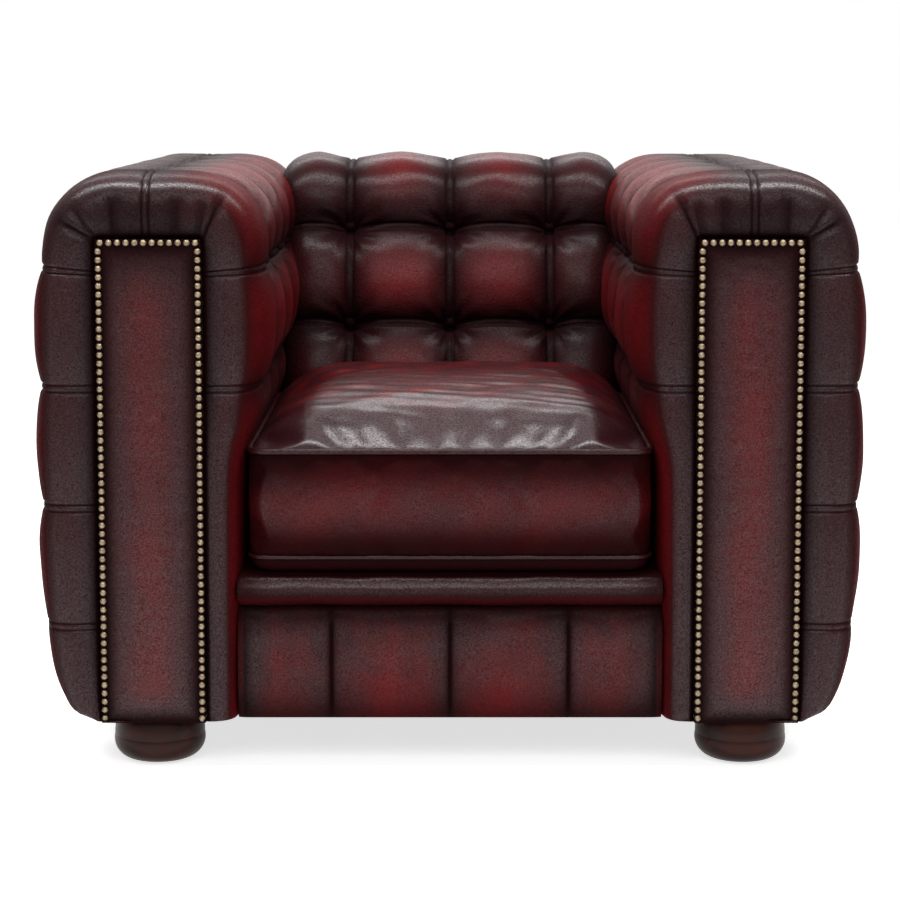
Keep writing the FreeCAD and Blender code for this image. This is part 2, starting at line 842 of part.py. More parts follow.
def rounded_bar(x_half, y0, y1, z0, z1, radius):
    """A bar along X whose two front edges are rounded."""
    low = (y0, z0 + radius)
    high = (y0, z1 - radius)
    bend = radius * (1 - math.sqrt(0.5))
    steps = [
        ((y1, z0), None, (y0 + radius, z0)),
        ((y0 + radius, z0), (y0 + bend, z0 + bend), low),
        (low, None, high),
        (high, (y0 + bend, z1 - bend), (y0 + radius, z1)),
        ((y0 + radius, z1), None, (y1, z1)),
        ((y1, z1), None, (y1, z0)),
    ]
    return prism_along_x(steps, -x_half, x_half)


def padded_bar(y0, y1, z0, z1, radius):
    """Leather and foam of a padded bar between the arms, its front at y0 and its rear open at y1."""
    half = seat_well_half - layer_gap
    skin = leather
    hollow = rounded_bar(half + skin, y0 + skin, y1 + skin, z0 + skin, z1 - skin, radius - skin)
    cover = rounded_bar(half, y0, y1, z0, z1, radius).cut(hollow)
    skin = leather + layer_gap
    pad = rounded_bar(half, y0 + skin, y1, z0 + skin, z1 - skin, radius - skin)
    beside = both_sides([arm_body(-layer_gap, open_z)])
    return cover.cut(beside), pad.cut(beside)


def cushion_outline(z, inset):
    """The cushion's outline at a height: round corners, straight front, and a back that follows the rake."""
    half = cushion_half - inset
    front = cushion_front_y + inset
    rear = rake_y(z) - cushion_back_gap - inset
    r = cushion_corner
    bend = r * (1 - math.sqrt(0.5))
    corners = [(-half, front, 1, 1), (half, front, -1, 1), (half, rear, -1, -1), (-half, rear, 1, -1)]
    steps = []
    for index, (x, y, sx, sy) in enumerate(corners):
        along_x = (x + sx * r, y)
        along_y = (x, y + sy * r)
        first, last = (along_y, along_x) if index % 2 == 0 else (along_x, along_y)
        via = (x + sx * bend, y + sy * bend)
        steps.append((first, via, last))
    joined = []
    for step, following in zip(steps, steps[1:] + steps[:1]):
        joined.append(step)
        joined.append((step[2], None, following[0]))
    return joined


def cushion_wire(z, inset):
    """That outline as a wire."""
    return Part.Wire(path_edges(cushion_outline(z, inset), lambda p: Vector(p[0], p[1], z)))


def cushion_body(inset):
    """The cushion with its crowned top, drawn inward by inset."""
    levels = [
        (cushion_bottom_z + inset, inset + 10),
        (cushion_bottom_z + 8, inset),
        (cushion_seam_z, inset),
        (cushion_seam_z + 0.55 * cushion_crown, inset + 18),
        (cushion_seam_z + 0.88 * cushion_crown, inset + 44),
        (cushion_seam_z + cushion_crown - inset, inset + 90),
    ]
    return Part.makeLoft([cushion_wire(z, drawn) for z, drawn in levels], True, True)


def piping(z):
    """The piped seam round the cushion at a height, bedded into the leather by piping_sunk."""
    path = cushion_wire(z, piping_sunk - piping_radius)
    edges = path.Edges[1:] + path.Edges[:1]
    start = edges[0].valueAt(edges[0].FirstParameter)
    ring = Part.Wire([Part.makeCircle(piping_radius, start, Vector(1, 0, 0))])
    return Part.Wire(edges).makePipeShell([ring], True, False)


def rear_face_point(x, z, out):
    """A point standing out of the cushion's raked rear face."""
    return Vector(x, rake_y(z) - cushion_back_gap + out * rake_cos, z - out * rake_sin)


def on_rear_face(x0, x1, v0, v1, out0, out1):
    """A block lying on the cushion's rear face: v runs up the face from zip_z, out away from it."""
    block_shape = Part.makeBox(x1 - x0, out1 - out0, v1 - v0, Vector(x0, out0, v0))
    turn = FreeCAD.Rotation(Vector(1, 0, 0), -back_rake)
    block_shape.Placement = FreeCAD.Placement(rear_face_point(0, zip_z, 0), turn)
    return block_shape


def cushion():
    """The loose cushion: foam core, leather cover, two piped seams, zip and slider."""
    pipes = [piping(cushion_seam_z), piping(cushion_low_seam_z)]
    half = zip_length / 2
    teeth = zip_chain_width / 2
    proud = zip_tape + zip_chain
    tape = on_rear_face(-half, half, -zip_tape_width / 2, zip_tape_width / 2, 0, zip_tape)
    raised = [on_rear_face(-half, half, -teeth, teeth, zip_tape, proud)]
    for end in (-half, half - zip_stop):
        raised.append(on_rear_face(end, end + zip_stop, -teeth, teeth, proud, zip_tape + slider_height))
    x1 = half - zip_stop - slider_clear
    x0 = x1 - slider_length
    wide = slider_width / 2
    clear = teeth + slider_clear
    body = on_rear_face(x0, x1, -wide, wide, zip_tape + slider_clear, zip_tape + slider_height)
    groove = on_rear_face(x0 - zip_stop, x1 + zip_stop, -clear, clear, 0, proud + slider_clear)
    return {
        "seat_cushion_core": cushion_body(leather + layer_gap),
        "seat_cushion_cover": cushion_body(0).cut([cushion_body(leather)] + pipes),
        "seat_cushion_piping": group(pipes),
        "cushion_zip": tape.fuse(raised).removeSplitter(),
        "zip_slider": body.cut(groove),
    }


def foot_places():
    """Centres of the four feet."""
    return {
        "front_left_foot": (facing_x, -foot_y),
        "front_right_foot": (-facing_x, -foot_y),
        "rear_left_foot": (facing_x, foot_y),
        "rear_right_foot": (-facing_x, foot_y),
    }


def foot(x, y):
    """A turned bun foot with a recess for its glide."""
    base = glide - glide_recess
    waist = (foot_top_radius + 5.5, base_z - 11.0)
    belly = (foot_radius - 5.0, base + 9.0)
    steps = [
        ((0, base_z), None, (foot_top_radius, base_z)),
        ((foot_top_radius, base_z), waist, (foot_radius, foot_widest_z)),
        ((foot_radius, foot_widest_z), belly, (foot_base_radius, base)),
        ((foot_base_radius, base), None, (glide_radius, base)),
        ((glide_radius, base), None, (glide_radius, glide)),
        ((glide_radius, glide), None, (0, glide)),
        ((0, glide), None, (0, base_z)),
    ]
    wire = Part.Wire(path_edges(steps, lambda p: Vector(x + p[0], y, p[1])))
    return Part.Face(wire).revolve(Vector(x, y, 0), Vector(0, 0, 1), 360)


def foot_fixings():
    """Glides, hanger bolts and flanged nuts, one of each for every foot."""
    up = Vector(0, 0, 1)
    glides, bolts, nuts = [], [], []
    block_top = frame_bottom_z + block
    for x, y in foot_places().values():
        glides.append(rod(Vector(x, y, 0), up, glide_radius, glide))
        bolts.append(rod(Vector(x, y, base_z - bolt_in_foot), up, bolt_radius, bolt_length))
        barrel = rod(Vector(x, y, frame_bottom_z), up, nut_radius, block)
        flange = rod(Vector(x, y, block_top), up, nut_flange_radius, nut_flange)
        bore = rod(Vector(x, y, 0), up, bolt_radius + bore_clear, overall_height)
        nuts.append(barrel.fuse(flange).cut(bore).removeSplitter())
    return glides, bolts, nuts


def foot_blocks():
    """Blocks in the corners of the arms that the feet bolt to, and the screws that hold them."""
    x0 = seat_rail_x + rail
    x1 = outer_rail_x - rail
    top = frame_bottom_z + block
    blocks, screws = [], []
    spans = [
        (-foot_y, front_board_rear_y, front_board_rear_y + block_length),
        (foot_y, rear_board_front_y - block_length, rear_board_front_y),
    ]
    for y, y0, y1 in spans:
        hole = rod(Vector(facing_x, y, 0), Vector(0, 0, 1), nut_radius + bore_clear, overall_height)
        blocks.append(box(x0, x1, y0, y1, frame_bottom_z, top).cut(hole))
        middle = (y0 + y1) / 2
        z = frame_bottom_z + block / 2
        for start_x, way in ((x1 - screw_length / 2, 1), (x0 + screw_length / 2, -1)):
            screws.append(rod(Vector(start_x, middle, z), Vector(way, 0, 0), screw_radius, screw_length))
    return both_sides(blocks), both_sides(screws)


def underside():
    """The dust cover under the frame and the staples along its edges."""
    half = outer_rail_x - dust_cover_edge
    y0 = frame_front_y + board / 2
    y1 = frame_rear_y - dust_cover_edge
    sheet = box(-half, half, y0, y1, base_z, base_z + dust_cover)
    up = Vector(0, 0, 1)
    holes = [rod(Vector(x, y, 0), up, nut_radius, overall_height) for x, y in foot_places().values()]
    sheet = sheet.cut(holes)
    staples = []
    count = int((y1 - y0) / staple_pitch)
    for i in range(count):
        y = (y0 + y1) / 2 + (i - (count - 1) / 2) * staple_pitch
        staples.append(staple(half - 2 * staple_wire, y))
    return sheet, both_sides(staples)


def staple(x, y):
    """A wire staple driven up through the dust cover, its crown along Y."""
    crown = box(
        x,
        x + staple_wire,
        y - staple_crown / 2,
        y + staple_crown / 2,
        base_z - staple_wire,
        base_z,
    )
    legs = []
    for end in (y - staple_crown / 2, y + staple_crown / 2 - staple_wire):
        legs.append(box(x, x + staple_wire, end, end + staple_wire, base_z, base_z + staple_leg))
    return crown.fuse(legs).removeSplitter()


def build():
    """Every node of the chair by name."""
    nodes = {}
    arm_cover, arm_foam = arm_upholstery()
    facing_wood, facing_pad, facing_cover = facing()
    left_pieces = {
        "arm_cover": arm_cover,
        "arm_foam": arm_foam,
        "facing_cover": facing_cover,
    }
    left_pieces.update(arm_frame())
    for name, shape in left_pieces.items():
        nodes["left_" + name] = shape
        nodes["right_" + name] = mirrored(shape)
    outer_buttons, inner_buttons = arm_buttons()
    base_rail, side_panels = arm_base_and_panels()
    pairs = {
        "arm_outer_buttons": outer_buttons,
        "arm_inner_buttons": inner_buttons,
        "arm_base_rails": [base_rail],
        "arm_side_panels": side_panels,
        "facing_boards": [facing_wood],
        "facing_wadding": [facing_pad],
        "facing_nails": facing_nails(),
    }
    for name, shapes in pairs.items():
        nodes[name] = group(both_sides(shapes))
    nodes["back_cover"], nodes["back_foam"] = back_upholstery()
    inside_buttons, rear_buttons = back_buttons()
    nodes["back_inside_buttons"] = group(inside_buttons)
    nodes["back_rear_buttons"] = group(rear_buttons)
    nodes.update(back_frame())
    nodes.update(seat_frame())
    nodes["frame_dowels"] = group(dowels())
    springs, clips = seat_springs()
    nodes["seat_springs"] = group(springs)
    nodes["spring_clips"] = group(clips)
    nodes.update(seat_deck())
    bar_rear_y = front_rail_y + cross_rail
    nodes["front_roll_cover"], nodes["front_roll_foam"] = padded_bar(
        roll_front_y, bar_rear_y, roll_bottom_z, deck_top_z, roll_radius
    )
    nodes["front_rail_cover"], nodes["front_rail_pad"] = padded_bar(
        rail_cover_front_y, front_rail_y, base_z, roll_bottom_z - layer_gap, rail_cover_round
    )
    nodes.update(cushion())
    for name, (x, y) in foot_places().items():
        nodes[name] = foot(x, y)
    glides, bolts, nuts = foot_fixings()
    nodes["foot_glides"] = group(glides)
    nodes["foot_bolts"] = group(bolts)
    nodes["foot_nuts"] = group(nuts)
    blocks, screws = foot_blocks()
    nodes["foot_blocks"] = group(blocks)
    nodes["block_screws"] = group(screws)
    nodes["dust_cover"], staples = underside()
    nodes["dust_cover_staples"] = group(staples)
    return nodes


def main():
    """Writes one STEP file for each node."""
    os.makedirs("parts", exist_ok=True)
    for name, shape in build().items():
        shape.exportStep(os.path.join("parts", name + ".step"))
        print(name, len(shape.Solids), "solids", round(shape.Volume / 1000.0, 1), "cm3", shape.isValid())


main()
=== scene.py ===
# %% [markdown]
# # A chesterfield armchair in antiqued oxblood leather
#
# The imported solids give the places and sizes. The leather that shows is modelled here, piece by piece, as an
# upholsterer fits it: covers pulled back by pleats and buttons, nailed front facings, a padded front rail and
# a loose cushion.

# %% Load the frame
import math
from types import SimpleNamespace

import bpy
import numpy as np
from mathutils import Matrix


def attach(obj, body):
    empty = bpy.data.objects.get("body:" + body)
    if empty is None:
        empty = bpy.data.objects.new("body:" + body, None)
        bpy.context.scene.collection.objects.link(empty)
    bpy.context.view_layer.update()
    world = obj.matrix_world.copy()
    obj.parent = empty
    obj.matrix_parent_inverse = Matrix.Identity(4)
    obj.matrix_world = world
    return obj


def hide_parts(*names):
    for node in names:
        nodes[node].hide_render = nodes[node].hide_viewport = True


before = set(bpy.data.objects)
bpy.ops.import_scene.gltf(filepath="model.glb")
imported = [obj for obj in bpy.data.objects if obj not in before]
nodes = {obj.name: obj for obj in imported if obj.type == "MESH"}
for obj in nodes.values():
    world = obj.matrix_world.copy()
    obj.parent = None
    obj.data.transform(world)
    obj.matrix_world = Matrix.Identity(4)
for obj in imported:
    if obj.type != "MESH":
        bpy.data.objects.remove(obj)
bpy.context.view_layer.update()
MM = 0.001
print("CAD nodes", len(nodes))

# %% [markdown]
# ## Camera and light
#
# The photo looks at the front from a little above the arms, through a long lens, and upright lines stay
# parallel. Tilting the camera alone would draw them together, so a small shift does part of the work. Three
# soft boxes light the leather: a narrow one overhead for its gloss, one behind and one in front.


# %% Camera
CAMERA_PLACE = (0.0, -3.565, 0.878)
CAMERA_LENS = 99.1  # mm
CAMERA_SHIFT = -0.1  # of the picture's width
CAMERA_TILT = 6.38  # degrees below level


def add_camera():
    """A long lens in front of the chair, a little above its arms."""
    data = bpy.data.cameras.new("camera")
    data.lens = CAMERA_LENS
    data.shift_y = CAMERA_SHIFT
    data.clip_end = 60
    camera = bpy.data.objects.new("camera", data)
    bpy.context.scene.collection.objects.link(camera)
    camera.location = CAMERA_PLACE
    camera.rotation_euler = (math.radians(90 - CAMERA_TILT), 0, 0)
    bpy.context.scene.camera = camera
    return camera


print("camera at", tuple(add_camera().location))


# %% Lights
# Place and aim in metres, width and depth of the box in metres, power in watts.
LAMPS = {
    "overhead": ((0, -0.6, 2.5), (0, -0.25, 0.3), (4.2, 0.5), 125),
    "behind": ((0, 2.2, 2.3), (0, 0.2, 0.6), (3.4, 0.5), 22),
    "front_fill": ((0, -3.4, 2.6), (0, 0, 0.4), (3.2, 1.6), 55),
}


def add_area(name, place, aim, size, power):
    """A soft box that faces aim."""
    data = bpy.data.lights.new(name, "AREA")
    data.shape = "RECTANGLE"
    data.size, data.size_y = size
    data.energy = power
    lamp = bpy.data.objects.new(name, data)
    bpy.context.scene.collection.objects.link(lamp)
    lamp.location = place
    direction = np.array(aim, float) - np.array(place, float)
    flat = math.hypot(direction[0], direction[1])
    lamp.rotation_euler = (math.atan2(flat, -direction[2]), 0, math.atan2(-direction[0], direction[1]))
    lamp.visible_camera = False
    return lamp


for lamp_name, settings in LAMPS.items():
    add_area(lamp_name, *settings)
scene = bpy.context.scene
scene.view_settings.view_transform = "Standard"

# %% [markdown]
# ## A short way to write shader nodes
#
# Each value that comes out of a node can be added to, multiplied or mixed like a number, so a material reads
# as a formula.


# %% Shader values
class Shade:
    """An output of a shader node. Arithmetic on it adds Math nodes to the same material."""

    def __init__(self, tree, socket):
        self.tree = tree
        self.socket = socket

    def math(self, operation, first, second):
        node = self.tree.nodes.new("ShaderNodeMath")
        node.operation = operation
        for target, value in zip(node.inputs, (first, second)):
            join(self.tree, target, value)
        return Shade(self.tree, node.outputs[0])

    def wave(self):
        """The sine of the value, moved into 0 to 1."""
        return self.math("SINE", self, 0.0) * 0.5 + 0.5

    def clipped(self):
        """The value kept between 0 and 1."""
        made = self.math("ADD", self, 0.0)
        made.socket.node.use_clamp = True
        return made


for sign, operation in (("add", "ADD"), ("sub", "SUBTRACT"), ("mul", "MULTIPLY")):
    setattr(Shade, f"__{sign}__", lambda self, other, word=operation: self.math(word, self, other))
    setattr(Shade, f"__r{sign}__", lambda self, other, word=operation: self.math(word, other, self))
print("shader values ready")


# %% Material
def seen_directly(tree):
    """1 for rays of the camera, of reflections and of what shines through, else 0."""
    rays = tree.nodes.new("ShaderNodeLightPath").outputs
    seen = Shade(tree, rays["Is Camera Ray"]) + Shade(tree, rays["Is Glossy Ray"])
    return (seen + Shade(tree, rays["Is Transmission Ray"])).clipped()


def join(tree, target, value):
    """Sets a node's input to a number, a colour or another node's output."""
    if isinstance(value, Shade):
        tree.links.new(value.socket, target)
    else:
        target.default_value = value


class Material:
    """A Principled material that is filled by formula."""

    def __init__(self, name, **constants):
        self.data = bpy.data.materials.new(name)
        self.data.use_nodes = True
        self.tree = self.data.node_tree
        self.shader = self.tree.nodes["Principled BSDF"]
        for key, value in constants.items():
            self.put(key.replace("_", " "), value)

    def put(self, key, value):
        join(self.tree, self.shader.inputs[key], value)

    def node(self, kind, output=0, settings=(), **inputs):
        """Any other node, its inputs by name, as one of its outputs."""
        made = self.tree.nodes.new("ShaderNode" + kind)
        for key, value in dict(settings).items():
            setattr(made, key, value)
        for key, value in inputs.items():
            join(self.tree, made.inputs[key.replace("_", " ")], value)
        return Shade(self.tree, made.outputs[output])

    def place(self):
        """The point in the chair's own coordinates, in metres."""
        return self.node("TexCoord", "Object")

    def noise(self, scale, detail=3.0, where=None, rough=0.5):
        spot = self.place() if where is None else where
        return self.node("TexNoise", "Fac", Vector=spot, Scale=scale, Detail=detail, Roughness=rough)

    def stretched(self, scale):
        """The chair's coordinates stretched by a factor along each axis."""
        return self.node("Mapping", "Vector", Vector=self.place(), Scale=scale)

    def colours(self, amount, first, second):
        """A colour between two others."""
        made = self.tree.nodes.new("ShaderNodeMix")
        made.data_type = "RGBA"
        join(self.tree, made.inputs[0], amount)
        for target, colour in zip((made.inputs[6], made.inputs[7]), (first, second)):
            join(self.tree, target, colour if isinstance(colour, Shade) else (*colour, 1.0))
        return Shade(self.tree, made.outputs[2])

    def bump(self, height, strength, distance):
        self.put("Normal", self.node("Bump", "Normal", Height=height, Strength=strength, Distance=distance))


print("shader helpers ready")

# %% [markdown]
# ## Leather
#
# Rub-off leather: a dark coat over red, rubbed away where the hide stands out. The attribute "tone" says how
# far each point is rubbed.
# The attribute "gloss_and_painted_light" sets the coat's gloss and also paints light into the coat's colour:
# painted shade makes recesses, seams and folds darker and matt, and a painted sheen makes crests and bands
# that face the lamps lighter and shiny. A pebbled grain a few millimetres wide breaks up the gloss.


# %% Leather material
PAINTED_SHADE_COAT, PAINTED_SHEEN_COAT = (0.0050, 0.0006, 0.0009), (0.0170, 0.0042, 0.0055)  # the dark coat in painted shade, and lightened by a painted sheen
DEEP_RED, WORN_RED = (0.074, 0.0020, 0.0028), (0.122, 0.0036, 0.0048)  # where it is rubbed away


def leather():
    """Colour, gloss and grain from tone, from the gloss with its painted shade and painted sheen, and from
    four patterns of different size.
    """
    made = Material("oxblood_leather", Coat_Roughness=0.29, Specular_IOR_Level=0.03)
    tone = made.node("Attribute", "Fac", {"attribute_name": "tone"})
    gloss_and_painted_light = made.node("Attribute", "Fac", {"attribute_name": "gloss_and_painted_light"})
    cloud = made.noise(9.0, 4.0)
    mottle = made.noise(130.0, 4.0, rough=0.7)
    speck = made.noise(520.0, 2.0, rough=0.6)
    pebble = made.node("TexVoronoi", "Distance", Vector=made.place(), Scale=240.0, Randomness=1.0)
    rubbed = (tone * (cloud * 0.7 + 0.65) + (mottle - 0.5) * 0.9 * (tone + 0.10)).clipped()
    # The dark coat's colour runs from painted shade to a painted sheen with gloss_and_painted_light.
    dark = made.colours(gloss_and_painted_light, PAINTED_SHADE_COAT, PAINTED_SHEEN_COAT)
    red = made.colours(cloud, DEEP_RED, WORN_RED)
    made.put("Base Color", made.colours(rubbed, dark, red))
    rough = 0.60 - gloss_and_painted_light * 0.24 + (mottle - 0.5) * 0.35 + pebble * 0.10
    made.put("Roughness", rough.clipped())
    made.put("Coat Weight", (gloss_and_painted_light * (speck * 2.7 - 0.72)).clipped())
    made.bump(pebble * -0.8 + speck * 0.5 + mottle * 0.6, 0.8, 0.0009)
    return made.data


LEATHER = leather()
print("material", LEATHER.name)

# %% [markdown]
# ## Surfaces from numbers
#
# Every cover is a net of points: one direction follows the section of the arm or the back, the other runs
# along it. The net is finer beside each seam.


# %% Curves and stations
def smooth_line(points, per_step=40):
    """A curve through points: q(t) = (2b + (c-a)t + (2a-5b+4c-d)t^2 + (3b-a-3c+d)t^3) / 2 between b and c."""
    p = np.array(points, float)
    p = np.vstack([2 * p[0] - p[1], p, 2 * p[-1] - p[-2]])
    t = np.linspace(0, 1, per_step, endpoint=False)[None, :, None]
    a, b, c, d = p[:-3, None], p[1:-2, None], p[2:-1, None], p[3:, None]
    curve = (2 * b + (c - a) * t + (2 * a - 5 * b + 4 * c - d) * t**2 + (3 * b - a - 3 * c + d) * t**3) / 2
    return np.vstack([curve.reshape(-1, p.shape[1]), p[-2]])


def run_length(line):
    """Distance along a line of points from its start to each of them."""
    return np.concatenate([[0], np.cumsum(np.linalg.norm(np.diff(line, axis=0), axis=1))])


def stations(start, end, seams, fine=1.9, coarse=9.0, hold=9.0, growth=0.22):
    """Places from start to end whose spacing is min(coarse, fine + growth * (distance to a seam - hold))."""
    x = np.linspace(start, end, 8000)
    gap = np.full_like(x, coarse)
    for seam in seams:
        gap = np.minimum(gap, fine + growth * np.maximum(0, np.abs(x - seam) - hold))
    count = np.concatenate([[0], np.cumsum(np.diff(x) / gap[:-1])])
    steps = int(np.ceil(count[-1]))
    return np.interp(np.linspace(0, count[-1], steps + 1), count, x)


def swell(x, seams, edge, power=2.3):
    """How full the padding is: 1 - (1 - u)^power, with u from 0 on a seam to 1 half-way to the next.

    Beyond the outermost seams u reaches 1 at a distance of edge.
    """
    seams = np.sort(np.array(seams, float))
    padded = np.concatenate([[seams[0] - 2 * edge], seams, [seams[-1] + 2 * edge]])
    index = np.clip(np.searchsorted(padded, x) - 1, 0, len(padded) - 2)
    low, high = padded[index], padded[index + 1]
    u = np.minimum(x - low, high - x) / ((high - low) / 2)
    u = np.where(x < seams[0], (seams[0] - x) / edge, u)
    u = np.where(x > seams[-1], (x - seams[-1]) / edge, u)
    return 1 - (1 - unit(u)) ** power


# %% Seams and unevenness
def nearest(x, seams):
    """Signed distance from x to the nearest seam."""
    seams = np.array(seams, float)
    gaps = np.asarray(x)[..., None] - seams
    index = np.abs(gaps).argmin(axis=-1)
    return np.take_along_axis(gaps, index[..., None], axis=-1)[..., 0]


def ripple(a, b, size, seed, waves=9):
    """Gentle unevenness between -1 and 1: a sum of sines of random direction, about size long."""
    rng = np.random.default_rng(seed)
    total = np.zeros(np.broadcast(a, b).shape)
    for _ in range(waves):
        angle = rng.uniform(0, math.pi)
        length = size * rng.uniform(0.7, 1.6)
        phase = rng.uniform(0, 2 * math.pi)
        total += np.sin(2 * math.pi * (a * math.cos(angle) + b * math.sin(angle)) / length + phase)
    return total / math.sqrt(waves * 2)


def unit(x):
    """x kept between 0 and 1."""
    return np.clip(x, 0, 1)


def ease(x, low, high):
    """A smooth step from 0 at low to 1 at high: 3u^2 - 2u^3."""
    u = unit((x - low) / (high - low))
    return u * u * (3 - 2 * u)


def fall(x, low, high):
    """A smooth step from 1 down to 0: 1 - ease."""
    return 1 - ease(x, low, high)


def bell(x, width):
    """1 at 0, falling to both sides: exp(-(x / width)^2)."""
    return np.exp(-((x / width) ** 2))


def normals_of(points):
    """Unit normals of a net of points, to the right of its rows."""
    along = np.gradient(points, axis=0)
    across = np.gradient(points, axis=1)
    n = np.cross(along, across)
    size = np.linalg.norm(n, axis=-1, keepdims=True)
    return n / np.maximum(size, 1e-9)


print("curve helpers ready")


# %% Pieces
def add_piece(name, points, quads, tone, gloss_and_painted_light=0.6, material=LEATHER, body="root"):
    """A smooth mesh of points in millimetres that rides on a body, with each point's tone and its gloss with
    painted shade and sheen.
    """
    flat = (points.reshape(-1, 3) * MM).astype(np.float32)
    mesh = bpy.data.meshes.new(name)
    mesh.vertices.add(len(flat))
    mesh.vertices.foreach_set("co", flat.ravel())
    mesh.loops.add(quads.size)
    mesh.loops.foreach_set("vertex_index", quads.ravel().astype(np.int32))
    mesh.polygons.add(len(quads))
    mesh.polygons.foreach_set("loop_start", np.arange(0, quads.size, 4, dtype=np.int32))
    mesh.update(calc_edges=True)
    mesh.polygons.foreach_set("use_smooth", np.ones(len(quads), bool))
    for word, values in (("tone", tone), ("gloss_and_painted_light", gloss_and_painted_light)):
        layer = mesh.attributes.new(word, "FLOAT", "POINT")
        layer.data.foreach_set("value", np.broadcast_to(values, points.shape[:-1]).ravel().astype(np.float32))
    mesh.validate()
    mesh.materials.append(material)
    piece = bpy.data.objects.new(name, mesh)
    bpy.context.scene.collection.objects.link(piece)
    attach(piece, body)
    low, high = points.reshape(-1, 3).min(0), points.reshape(-1, 3).max(0)
    print(name, "faces", len(quads), "from", low.round(), "to", high.round())
    return piece


def net_quads(rows, columns, flip=False, closed=False):
    """Four-sided faces of a net of rows by columns; flip turns them over, closed joins its ends."""
    index = np.arange(rows * columns).reshape(rows, columns)
    if closed:
        index = np.pad(index, (0, 1), mode="wrap")
    quads = np.stack([index[:-1, :-1], index[1:, :-1], index[1:, 1:], index[:-1, 1:]], axis=-1).reshape(-1, 4)
    return quads[:, ::-1] if flip else quads


print("mesh helpers ready")

# %% [markdown]
# ## Tufting
#
# Between two seams the padding swells; a seam is a pair of creases with a flat ribbon between them, where the
# pleat was folded and sewn. Buttons pull the crossings in further, and short folds run out from them.


# %% Tufting relief
CREASE = 4.4  # half the width of a seam's ribbon
LINE = 1.6  # width of each crease


def creases(distance):
    """Depth of the two creases beside a seam: exp(-((|d| - CREASE) / LINE)^2)."""
    return bell(np.abs(distance) - CREASE, LINE)


def tuft(rows, columns, row_swell, col_swell, row_gap, col_gap, row_depth, col_depth, seed):
    """How far the leather lies inside its fullest shape (mm), how much it is rubbed, and its gloss with
    painted light: painted shade beside the seams and round the buttons, and a painted glint on the seams'
    ribbons.

    low = row_depth (1 - row_swell) + col_depth (1 - col_swell) (0.35 + 0.65 row_swell), plus a pit
    round each button, rays that run out of it, puckers beside the seams and a little unevenness.
    """
    low = row_depth * (1 - row_swell)
    low += col_depth * (1 - col_swell) * (0.35 + 0.65 * row_swell)
    radius = np.hypot(row_gap, col_gap * 0.8)
    pull = unit(row_depth / 20) * unit(col_depth / 12)
    low += (9 * bell(radius, 15) + 6 * bell(radius, 30)) * pull
    angle = np.arctan2(row_gap, col_gap)
    rays = np.sin(9 * angle + ripple(rows, columns, 160, seed + 5) * 2.5)
    low += 1.8 * rays * bell(radius - 28, 16) * pull
    pucker = ripple(rows * 0.15, columns, 26, seed) * np.exp(-np.abs(row_gap) / 13)
    pucker += ripple(rows, columns * 0.15, 30, seed + 1) * np.exp(-np.abs(col_gap) / 11) * 0.8
    low = low + 1.0 * pucker + 1.1 * ripple(rows, columns, 75, seed + 2)
    rubbed = row_swell**1.5 * col_swell**1.3
    # Painted shade beside the rows and columns of seams and in the pits round the buttons; ribbon is a painted
    # glint along each seam's ribbon.
    near_row = bell(row_gap, 22) * unit(row_depth / 12)
    near_column = bell(col_gap, 18) * unit(col_depth / 12)
    ribbon = 0.12 * np.exp(-((row_gap / 2.4) ** 4)) + 0.30 * np.exp(-((col_gap / 2.4) ** 4))
    gloss_and_painted_light = (1 - 0.95 * near_row) * (1 - 0.95 * near_column) + ribbon
    gloss_and_painted_light *= (1 - bell(radius, 34) * pull)
    return low, rubbed, unit(gloss_and_painted_light)


def sewn(row_gap, col_gap, row_depth, col_depth):
    """Depth of the pairs of creases beside the seams."""
    rows = 3.0 * creases(row_gap) * unit(row_depth / 12)
    return rows + 2.6 * creases(col_gap) * unit(col_depth / 12)


print("ribbon", 2 * CREASE, "mm")

# %% [markdown]
# ## The arms
#
# Each arm is one cover. Its net follows the arm's section from the outer bottom edge over the top to the seat
# side, and runs from the facing's edge round the padded front border, back along the arm and round the rear
# end to a seam in its middle. A lofted cage would need dozens of hand-placed loops; two curves and a formula
# give the same shape and can be moved by one number.

# %% The arm's section
ARM_LINE = smooth_line(
    [
        (398, 65), (425, 65), (466, 66), (490, 73), (506, 98), (516, 124), (523, 152), (528, 187),
        (531, 240), (534, 290), (535, 340), (535, 416), (536, 493), (536, 570), (534, 635), (527, 676),
        (513, 712), (490, 742), (462, 761), (428, 770), (384, 771), (345, 770), (312, 766), (284, 757),
        (259, 741), (241, 718), (230, 686), (226, 646), (223, 610), (223, 570), (225, 530), (231, 493),
        (244, 450), (258, 415), (264, 380), (265, 330), (266, 250), (266, 170), (266, 90), (268, 68),
        (285, 65), (306, 65),
    ]
)
ARM_RUN = run_length(ARM_LINE)
peak = int(ARM_LINE[:, 1].argmax())


def arm_run_at(z, inner=False):
    """Distance along the section where it passes a height, on the outer or the inner side."""
    if inner:
        return float(np.interp(-z, -ARM_LINE[peak + 300 :, 1], ARM_RUN[peak + 300 :]))
    rising = slice(120, peak - 60)
    return float(np.interp(z, ARM_LINE[rising, 1], ARM_RUN[rising]))


